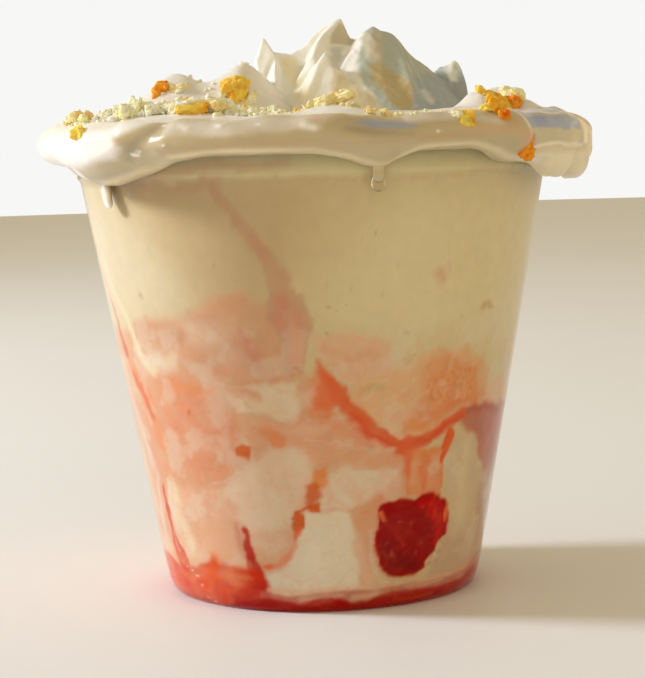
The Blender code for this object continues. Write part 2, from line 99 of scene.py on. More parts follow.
def turned_to(heading: float, radius: float, height: float) -> Matrix:
    """The matrix that puts something at a heading, a radius and a height, facing outwards."""
    place = Vector(ring_points(np.array(heading), np.array(radius), np.array(height)))
    return Matrix.Translation(place) @ Matrix.Rotation(math.radians(heading), 4, "Z")


def headings_of(places: Array) -> Array:
    """The heading of each point."""
    return np.degrees(np.arctan2(places[:, 0], -places[:, 1]))


def random_cells(cells: Array, seed: int) -> Array:
    """A fixed random value from 0 to 1 for each whole-numbered cell.

    Args:
        cells: One row of three whole numbers for each cell.
        seed: Another seed gives other values.

    Returns:
        One value for each row.
    """
    mixed = cells[:, 0] * 73856093 ^ cells[:, 1] * 19349663 ^ cells[:, 2] * 83492791 ^ seed * 62089911
    mixed = (mixed ^ (mixed >> 15)) * 2246822519 & 0xFFFFFFFF
    mixed = (mixed ^ (mixed >> 13)) * 3266489917 & 0xFFFFFFFF
    return ((mixed ^ (mixed >> 16)) & 0xFFFFFF) / float(0xFFFFFF)


def ripples(places: Array, size: float, octaves: int = 1, seed: int = 0) -> Array:
    """Smooth random values over space, from about -1 to 1.

    Args:
        places: The points.
        size: Width of the largest ripples.
        octaves: How many times ripples of half the size and half the depth are added.
        seed: Another seed gives other ripples.

    Returns:
        One value for each point.
    """
    total = np.zeros(len(places))
    for octave in range(octaves):
        spot = places / size * 2.0**octave
        cell = np.floor(spot).astype(np.int64)
        part = spot - cell
        ease = part * part * (3.0 - 2.0 * part)
        for corner in np.ndindex(2, 2, 2):
            share = np.prod(np.where(np.array(corner) == 1, ease, 1.0 - ease), axis=1)
            total += share * (2.0 * random_cells(cell + np.array(corner), seed + octave) - 1.0) * 0.5**octave
    return total


def pores(places: Array, size: float, seed: int = 0) -> Array:
    """Distance from each point to the nearest of many scattered centres, in units of their spacing.

    Args:
        places: The points.
        size: Spacing of the centres.
        seed: Another seed moves the centres.

    Returns:
        One value for each point, 0 at a centre.
    """
    spot = places / size
    cell = np.floor(spot).astype(np.int64)
    nearest = np.full(len(places), 9.0)
    for step in np.ndindex(3, 3, 3):
        home = cell + np.array(step) - 1
        centre = home + np.stack([random_cells(home, seed + axis) for axis in range(3)], axis=1)
        nearest = np.minimum(nearest, np.linalg.norm(centre - spot, axis=1))
    return nearest


def linear(colour: Sequence[float]) -> Array:
    """Turns an sRGB colour from 0 to 255 into linear light."""
    share = np.asarray(colour, float) / 255.0
    return np.where(share <= 0.04045, share / 12.92, ((share + 0.055) / 1.055) ** 2.4)


# The soft warm light that reaches the front of the cup. A colour that was judged there, divided by this,
# is the surface's own colour.
FRONT_LIGHT = np.array([0.56, 0.465, 0.325])


def own_colour(colour: Sequence[float]) -> Array:
    """The surface's own linear colour, from how it looks in the light at the front of the cup."""
    return np.clip(linear(colour) / FRONT_LIGHT, 0.0, 0.96)


# ---------------------------------------------------------------- meshes


def read_places(bm: bmesh.types.BMesh) -> Array:
    """The vertices' places as an array."""
    return np.array([vert.co[:] for vert in bm.verts]).reshape(-1, 3)


def move_vertices(bm: bmesh.types.BMesh, places: Array) -> None:
    """Moves each vertex to its row of an array."""
    for vert, place in zip(bm.verts, places.tolist()):
        vert.co = place


def turned_grid(rows: int, columns: int) -> tuple[bmesh.types.BMesh, Array, Array]:
    """A sheet of rows and columns, for a function to wrap round the cup's axis.

    Args:
        rows: Faces from its first to its last row.
        columns: Faces round the axis.

    Returns:
        The bmesh, and each vertex's row and its heading from -180 to 180. The two ends of a row lie on the
        same heading, for close_shell to weld.
    """
    bm = bmesh.new()
    bmesh.ops.create_grid(bm, x_segments=columns, y_segments=rows, size=1.0)
    flat = read_places(bm)
    return bm, np.round((flat[:, 1] + 1.0) / 2.0 * rows), flat[:, 0] * 180.0


def denser_front(heading: Array, front_share: float) -> Array:
    """Moves evenly spaced headings closer together on the front half.

    Args:
        heading: Headings from -180 to 180.
        front_share: The share of them that ends up between -95 and 95 degrees.

    Returns:
        The new headings.
    """
    limit = 180.0 * front_share
    return np.sign(heading) * np.interp(np.abs(heading), [0.0, limit, 180.0], [0.0, 95.0, 180.0])


def close_shell(bm: bmesh.types.BMesh, merge: float = 1e-4) -> None:
    """Welds seams and poles, and turns the faces outwards.

    Args:
        bm: The shell.
        merge: How close vertices are that become one.
    """
    bmesh.ops.remove_doubles(bm, verts=bm.verts, dist=merge)
    bmesh.ops.dissolve_degenerate(bm, edges=bm.edges, dist=merge / 10.0)
    bmesh.ops.recalc_face_normals(bm, faces=bm.faces)


def add_piece(
    name: str,
    bm: bmesh.types.BMesh,
    material: bpy.types.Material,
    nodes: Sequence[str] = (),
    colours: Array | None = None,
    sharp: float = 60.0,
) -> bpy.types.Object:
    """Makes a finished piece of the part from a bmesh in millimetres.

    Args:
        name: The piece's name.
        bm: Its shape, which is used up.
        material: Its finish.
        nodes: The solids that the piece is shown in place of.
        colours: A linear colour for each vertex, for the finish to read.
        sharp: The angle in degrees from which an edge looks sharp.

    Returns:
        The piece's object.
    """
    bm.transform(Matrix.Scale(MM, 4))
    mesh = bpy.data.meshes.new(name)
    bm.to_mesh(mesh)
    bm.free()
    mesh.materials.append(material)
    mesh.shade_smooth()
    mesh.set_sharp_from_angle(angle=math.radians(sharp))
    if colours is not None:
        layer = mesh.attributes.new(PAINT, "FLOAT_COLOR", "POINT")
        shades = np.column_stack([colours, np.ones(len(colours))]).astype(np.float32)
        layer.data.foreach_set("color", shades.ravel())
    piece = bpy.data.objects.new(name, mesh)
    bpy.context.scene.collection.objects.link(piece)
    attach(piece, BODY)
    if nodes:
        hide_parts(*nodes)
    triangles = sum(len(face.vertices) - 2 for face in mesh.polygons)
    LOG.info("%s: %d triangles, stands for %s", name, triangles, ", ".join(nodes) or "itself")
    return piece


def torn_lumps(
    frames: Sequence[Matrix], fineness: int, squareness: float, crag: float, seed: int
) -> bmesh.types.BMesh:
    """Torn, uneven blocks, each of its own shape.

    Args:
        frames: For each block, the matrix that scales a block one unit across, turns it and puts it in place.
        fineness: How many times the faces of each are divided.
        squareness: 0 for balls, 1 for cubes.
        crag: Depth of their unevenness, as a share of their size.
        seed: Another seed gives other shapes.

    Returns:
        A bmesh that holds them all.
    """
    bm = bmesh.new()
    bmesh.ops.create_icosphere(bm, subdivisions=fineness, radius=1.0)
    ball = read_places(bm)
    total = len(ball) * len(frames)
    while len(bm.verts) < total:
        bmesh.ops.duplicate(bm, geom=bm.verts[:] + bm.edges[:] + bm.faces[:])
    bmesh.ops.delete(bm, geom=bm.verts[total:] if len(bm.verts) > total else [], context="VERTS")
    cube = ball / np.abs(ball).max(axis=1)[:, None]
    shape = 0.5 * (ball + (cube - ball) * squareness)
    apart, crag_size = 7.3, 0.9
    shifts = np.arange(len(frames))[:, None, None] * apart + seed
    uneven = ripples((ball[None] + shifts).reshape(-1, 3), crag_size, 3, seed).reshape(len(frames), -1)
    shapes = shape[None] * (1.0 + crag * uneven)[:, :, None]
    turns = np.array([[row[:] for row in matrix] for matrix in frames])
    placed = np.einsum("nij,nkj->nki", turns[:, :3, :3], shapes) + turns[:, None, :3, 3]
    move_vertices(bm, placed.reshape(-1, 3))
    bmesh.ops.recalc_face_normals(bm, faces=bm.faces)
    return bm


# ---------------------------------------------------------------- finishes

PAINT = "paint"


class Graph:
    """The node tree of a new material, with short calls for the nodes that the finishes use."""

    def __init__(self, name: str) -> None:
        """Starts a material that holds a shader and its output."""
        self.material = bpy.data.materials.new(name)
        self.material.use_nodes = True
        self.tree = self.material.node_tree
        self.shader = self.tree.nodes["Principled BSDF"]
        self.output = self.tree.nodes["Material Output"]

    def node(self, kind: str, **values: str) -> bpy.types.Node:
        """Adds a node.

        Args:
            kind: The node's type.
            values: Its properties.

        Returns:
            The node.
        """
        made = self.tree.nodes.new(kind)
        for name, value in values.items():
            setattr(made, name, value)
        return made

    def feed(self, socket: Socket, value: Socket | float | Point) -> None:
        """Links a socket to an output, or sets it to a value."""
        if isinstance(value, Socket):
            self.tree.links.new(value, socket)
        else:
            socket.default_value = value

    def cloud(self, size: float, detail: float) -> Socket:
        """A noise on Object coordinates.

        Args:
            size: Width of its largest patches.
            detail: How many finer patches lie in them.

        Returns:
            Its value, from 0 to 1.
        """
        noise = self.node("ShaderNodeTexNoise")
        self.feed(noise.inputs["Vector"], self.node("ShaderNodeTexCoord").outputs["Object"])
        noise.inputs["Scale"].default_value = 1.0 / (size * MM)
        noise.inputs["Detail"].default_value = detail
        return noise.outputs["Fac"]

    def span(self, value: Socket, low: float, high: float, to_low: float, to_high: float) -> Socket:
        """Maps a value from one span to another, without going past its ends.

        Args:
            value: The value.
            low: Start of its span.
            high: End of its span.
            to_low: What the start becomes.
            to_high: What the end becomes.

        Returns:
            The mapped value.
        """
        mapped = self.node("ShaderNodeMapRange")
        for index, item in enumerate((value, low, high, to_low, to_high)):
            self.feed(mapped.inputs[index], item)
        return mapped.outputs["Result"]

    def multiply(self, share: Socket | float, first: Socket | Point, second: Socket | Point) -> Socket:
        """Multiplies a colour by another.

        Args:
            share: How far, from 0 to 1.
            first: The colour.
            second: What it is multiplied by.

        Returns:
            The product.
        """
        mixed = self.node("ShaderNodeMix", data_type="RGBA", blend_type="MULTIPLY")
        for name, item in (("Factor_Float", share), ("A_Color", first), ("B_Color", second)):
            socket = next(each for each in mixed.inputs if each.identifier == name)
            self.feed(socket, item)
        return next(each for each in mixed.outputs if each.identifier == "Result_Color")

    def paint(self) -> Socket:
        """The piece's own painted colour."""
        return self.node("ShaderNodeAttribute", attribute_name=PAINT).outputs["Color"]

    def bump(self, height: Socket, strength: float, depth: float) -> None:
        """Roughens the surface.

        Args:
            height: The height, from 0 to 1.
            strength: How much of it shows.
            depth: How deep its full range is.
        """
        made = self.node("ShaderNodeBump")
        made.inputs["Strength"].default_value = strength
        made.inputs["Distance"].default_value = depth * MM
        self.feed(made.inputs["Height"], height)
        self.feed(self.shader.inputs["Normal"], made.outputs["Normal"])

    def set(self, **values: Socket | float | Point) -> None:
        """Sets or links the shader's inputs, named with underscores for spaces."""
        for name, value in values.items():
            self.feed(self.shader.inputs[name.replace("_", " ")], value)


def flat_colour(colour: Array) -> Point:
    """A linear colour as a socket takes it."""
    return (*(float(part) for part in colour), 1.0)


@dataclass(frozen=True)
class ClearFinish:
    """Clear plastic or syrup, which light passes to what is behind it."""

    name: str
    tint: Point = (1.0, 1.0, 1.0)
    ior: float = 1.46
    roughness: float = 0.03
    ripple: float = 0.0
    ripple_size: float = 9.0
    sheen: float = 1.0

    def build(self) -> bpy.types.Material:
        """Makes the material: a transmitting shader that lets shadow rays through."""
        graph = Graph(self.name)
        graph.set(
            Base_Color=(*self.tint, 1.0), Roughness=self.roughness, IOR=self.ior, Transmission_Weight=1.0,
            Specular_Tint=(self.sheen, self.sheen, self.sheen, 1.0),
        )
        if self.ripple:
            graph.bump(graph.cloud(self.ripple_size, detail=1.0), strength=0.4, depth=self.ripple)
        clear = graph.node("ShaderNodeBsdfTransparent")
        clear.inputs["Color"].default_value = (*self.tint, 1.0)
        mixed = graph.node("ShaderNodeMixShader")
        graph.feed(mixed.inputs[0], graph.node("ShaderNodeLightPath").outputs["Is Shadow Ray"])
        graph.feed(mixed.inputs[1], graph.shader.outputs["BSDF"])
        graph.feed(mixed.inputs[2], clear.outputs["BSDF"])
        graph.feed(graph.output.inputs["Surface"], mixed.outputs["Shader"])
        return graph.material


@dataclass(frozen=True)
class PaintedFood:
    """Moist food whose colour is painted on its vertices, with a fine grain of its own."""

    name: str
    roughness: float
    grain: float = 0.10
    grain_size: float = 1.3
    coat: float = 0.0
    gloss: float = 0.5
    glow: float = 0.0
    glow_reach: Point = (1.0, 0.6, 0.25)
    relief: float = 0.05
    # Wide, faint warm patches: their colour, their width in grains and their depth in grains
    patch: Point = (196, 158, 100)
    patch_size: float = 6.0
    patch_depth: float = 1.2
    coat_roughness: float = 0.12

    def build(self) -> bpy.types.Material:
        """Makes the material: the painted colour, made lighter and darker by a fine cloud."""
        graph = Graph(self.name)
        fine = graph.cloud(self.grain_size, detail=4.0)
        wide = graph.cloud(self.grain_size * self.patch_size, detail=2.0)
        light = graph.span(fine, 0.3, 0.7, 1.0 - self.grain, 1.0 + self.grain)
        colour = graph.multiply(1.0, graph.paint(), light)
        warm = graph.span(wide, 0.35, 0.65, 0.0, self.grain * self.patch_depth)
        colour = graph.multiply(warm, colour, flat_colour(own_colour(self.patch)))
        graph.set(Base_Color=colour, Roughness=self.roughness, Specular_IOR_Level=self.gloss)
        if self.coat:
            graph.set(Coat_Weight=self.coat, Coat_Roughness=self.coat_roughness)
        if self.glow:
            graph.set(Subsurface_Weight=self.glow, Subsurface_Radius=self.glow_reach, Subsurface_Scale=MM)
        graph.bump(graph.cloud(self.grain_size, detail=5.0), strength=0.5, depth=self.relief)
        return graph.material


@dataclass(frozen=True)
class FloorFinish:
    """A plain pale matt floor."""

    name: str = "pale_floor"
    colour: Point = (243, 247, 255)
    patch_size: float = 180.0
    darkest: float = 0.98

    def build(self) -> bpy.types.Material:
        """Makes the material, very slightly uneven in tone."""
        graph = Graph(self.name)
        tone = graph.span(graph.cloud(self.patch_size, detail=2.0), 0.3, 0.7, self.darkest, 1.0)
        pale = graph.multiply(1.0, flat_colour(linear(self.colour)), tone)
        graph.set(Base_Color=pale, Roughness=0.6)
        return graph.material


# ---------------------------------------------------------------- painting on the wall


class Pigment(Enum):
    """What the pudding is stained with, and the painted light, shade, highlights and reflections on the cream
    and the whipped cream, as it looks in the light at the front of the cup.
    """

    PUDDING = (183, 157, 107)
    LIGHT_PUDDING = (194, 171, 122)
    SHADED = (172, 140, 92)
    CREAM = (222, 172, 134)
    # painted light: the band over the shoulder
    SHOULDER_LIGHT = (203, 172, 118)
    PALE_CREAM = (226, 206, 168)
    PATCH = (196, 164, 120)
    TAN = (199, 160, 120)
    PINK_TAN = (185, 132, 89)
    PINK = (175, 117, 81)
    BLUSH = (197, 149, 107)
    SALMON = (190, 120, 79)
    PEACH = (206, 138, 94)
    APRICOT = (202, 147, 96)
    ORANGE = (197, 120, 69)
    AMBER = (196, 112, 48)
    CORAL = (199, 86, 42)
    RUST = (180, 78, 26)
    DEEP_ORANGE = (198, 70, 8)
    SCARLET = (178, 38, 2)
    BRICK = (156, 26, 12)
    ROSE = (164, 86, 66)
    MAUVE = (182, 120, 84)
    FAINT_PINK = (174, 131, 89)
    OBLONG = (181, 152, 111)
    DUSK = (166, 124, 96)
    BROWN = (172, 134, 80)
    SPECK = (124, 100, 58)
    BERRY = (134, 0, 0)
    BRIGHT_BERRY = (170, 2, 0)
    DARK_BERRY = (112, 0, 0)
    SEED = (176, 50, 46)
    DARK_SAUCE = (142, 8, 1)
    GLINT = (250, 228, 196)
    DRAPE = (148, 126, 85)
    # painted shade, light and highlights on the cream, then two painted reflections
    LOW_DRAPE_SHADE = (145, 118, 75)
    FOLD_SHADE = (126, 107, 76)
    PAINTED_LIGHT_CREAM = (212, 206, 190)
    TOP_LIT_CREAM = (172, 154, 126)
    HIGHLIGHT_CREAM = (212, 200, 178)
    RIM_LIGHT_CREAM = (184, 159, 112)
    STEEL_REFLECTION = (117, 119, 124)
    PEARL_REFLECTION = (142, 144, 146)
    WET_TAN = (156, 139, 102)
    WET_GOLD = (176, 152, 104)
    WET_CREAM = (192, 172, 134)
    # painted: the background seen through the clear rim
    SEEN_THROUGH_BROWN = (122, 92, 76)
    JUICE = (160, 62, 0)
    JUICE_HALO = (164, 118, 76)
    WHIP = (192, 179, 149)
    # painted highlight and painted shade on the whipped cream
    WHIP_HIGHLIGHT = (196, 186, 166)
    WHIP_SHADE_HONEY = (190, 168, 122)
    WHIP_SHADE_WARM = (170, 149, 106)
    WHIP_SHADE_TAN = (160, 142, 108)
    WHIP_SHADE_GOLD = (153, 129, 81)
    WHIP_SHADE = (141, 136, 110)
    WHIP_SHADE_GREY = (130, 128, 114)


# The stains at the back are a mirror image of the front's, this much nearer to the foot
BACK_HEIGHT = 0.97


def stain(colours: Array, pigment: Pigment, cover: Array) -> None:
    """Covers colours with a pigment, each as far as its cover from 0 to 1 says."""
    colours += (own_colour(pigment.value) - colours) * np.clip(cover, 0.0, 1.0)[:, None]


@dataclass(frozen=True)
class Stroke:
    """A stain, painted light or painted shade on the cup's wall: a line of the given half width, or an area
    where width is left out.

    Fields:
        pigment: Its colour.
        path: Heading and height of each point, and after them the half width there where it changes.
        width: Half width of a line.
        feather: Distance over which the edge fades.
        strength: How much it covers.
        mottle: How uneven its cover is.
        mirrored: Whether the back of the cup has one like it.
    """

    pigment: Pigment
    path: tuple[Point, ...]
    width: float | None = None
    feather: float = 1.0
    strength: float = 1.0
    mottle: float = 0.15
    mirrored: bool = True

    def at_the_back(self) -> "Stroke":
        """The same stroke on the other half of the cup, as if seen in a mirror and a little lower."""
        path = tuple((180.0 - point[0], point[1] * BACK_HEIGHT, *point[2:]) for point in self.path)
        return Stroke(self.pigment, path, self.width, self.feather, self.strength, self.mottle)

    def cover(self, heading: Array, height: Array, radius: Array) -> Array:
        """How much of the stroke lies on each place.

        Args:
            heading: Headings of the places.
            height: Heights of the places.
            radius: Distances of the places from the cup's axis.

        Returns:
            One value for each place, 1 where the stroke covers it fully.
        """
        is_area = self.width is None and len(self.path[0]) == 2
        across = [np.radians(turned_by(point[0], heading)) * radius for point in self.path]
        up = [point[1] - height for point in self.path]
        widths = [point[2] if len(point) > 2 else self.width or 0.0 for point in self.path]
        count = len(self.path)
        nearest = np.full(len(heading), np.inf)
        inside = np.zeros(len(heading), bool)
        if count == 1:
            nearest = np.hypot(across[0], up[0]) - widths[0]
        for index in range(count if is_area else count - 1):
            after = (index + 1) % count
            run_x, run_z = across[after] - across[index], up[after] - up[index]
            along = -(across[index] * run_x + up[index] * run_z) / (run_x**2 + run_z**2 + 1e-9)
            along = np.clip(along, 0.0, 1.0)
            away = np.hypot(across[index] + along * run_x, up[index] + along * run_z)
            nearest = np.minimum(nearest, away - (widths[index] + (widths[after] - widths[index]) * along))
            if is_area:
                spans = (up[index] > 0.0) != (up[after] > 0.0)
                level = np.where(np.abs(run_z) < 1e-9, 1e-9, run_z)
                inside ^= spans & (across[index] - up[index] / level * run_x > 0.0)
        signed = np.where(inside, -nearest, nearest) if is_area else nearest
        return smooth_step(0.5 - signed / self.feather) * self.strength


def line(
    pigment: Pigment, width: float, feather: float, strength: float, *path: Point, **more: float
) -> Stroke:
    """A stroke along a path. Its half width is 0 where the points give their own."""
    return Stroke(pigment, path, width, feather, strength, **more)


def area(pigment: Pigment, feather: float, strength: float, *path: Point, **more: float) -> Stroke:
    """A stroke that fills an outline."""
    return Stroke(pigment, path, None, feather, strength, **more)


def berry_outline(across: float, up: float) -> tuple[Point, ...]:
    """The fruit's outline on the wall, made wider or narrower about its middle.

    Args:
        across: Scale of its headings.
        up: Scale of its heights.

    Returns:
        Heading and height of each point.
    """
    middle, level = 32.0, 13.2
    outline = (
        (18.6, 19.4), (22.4, 20.7), (26.0, 21.0), (30.5, 20.0), (34.0, 20.8), (40.2, 20.4), (43.8, 18.6),
        (45.8, 16.0), (44.6, 12.8), (40.6, 10.2), (36.5, 7.2), (32.0, 6.0), (26.4, 5.9), (21.9, 6.7),
        (18.4, 9.0), (17.6, 12.1), (18.4, 15.6),
    )
    return tuple((middle + (h - middle) * across, level + (z - level) * up) for h, z in outline)


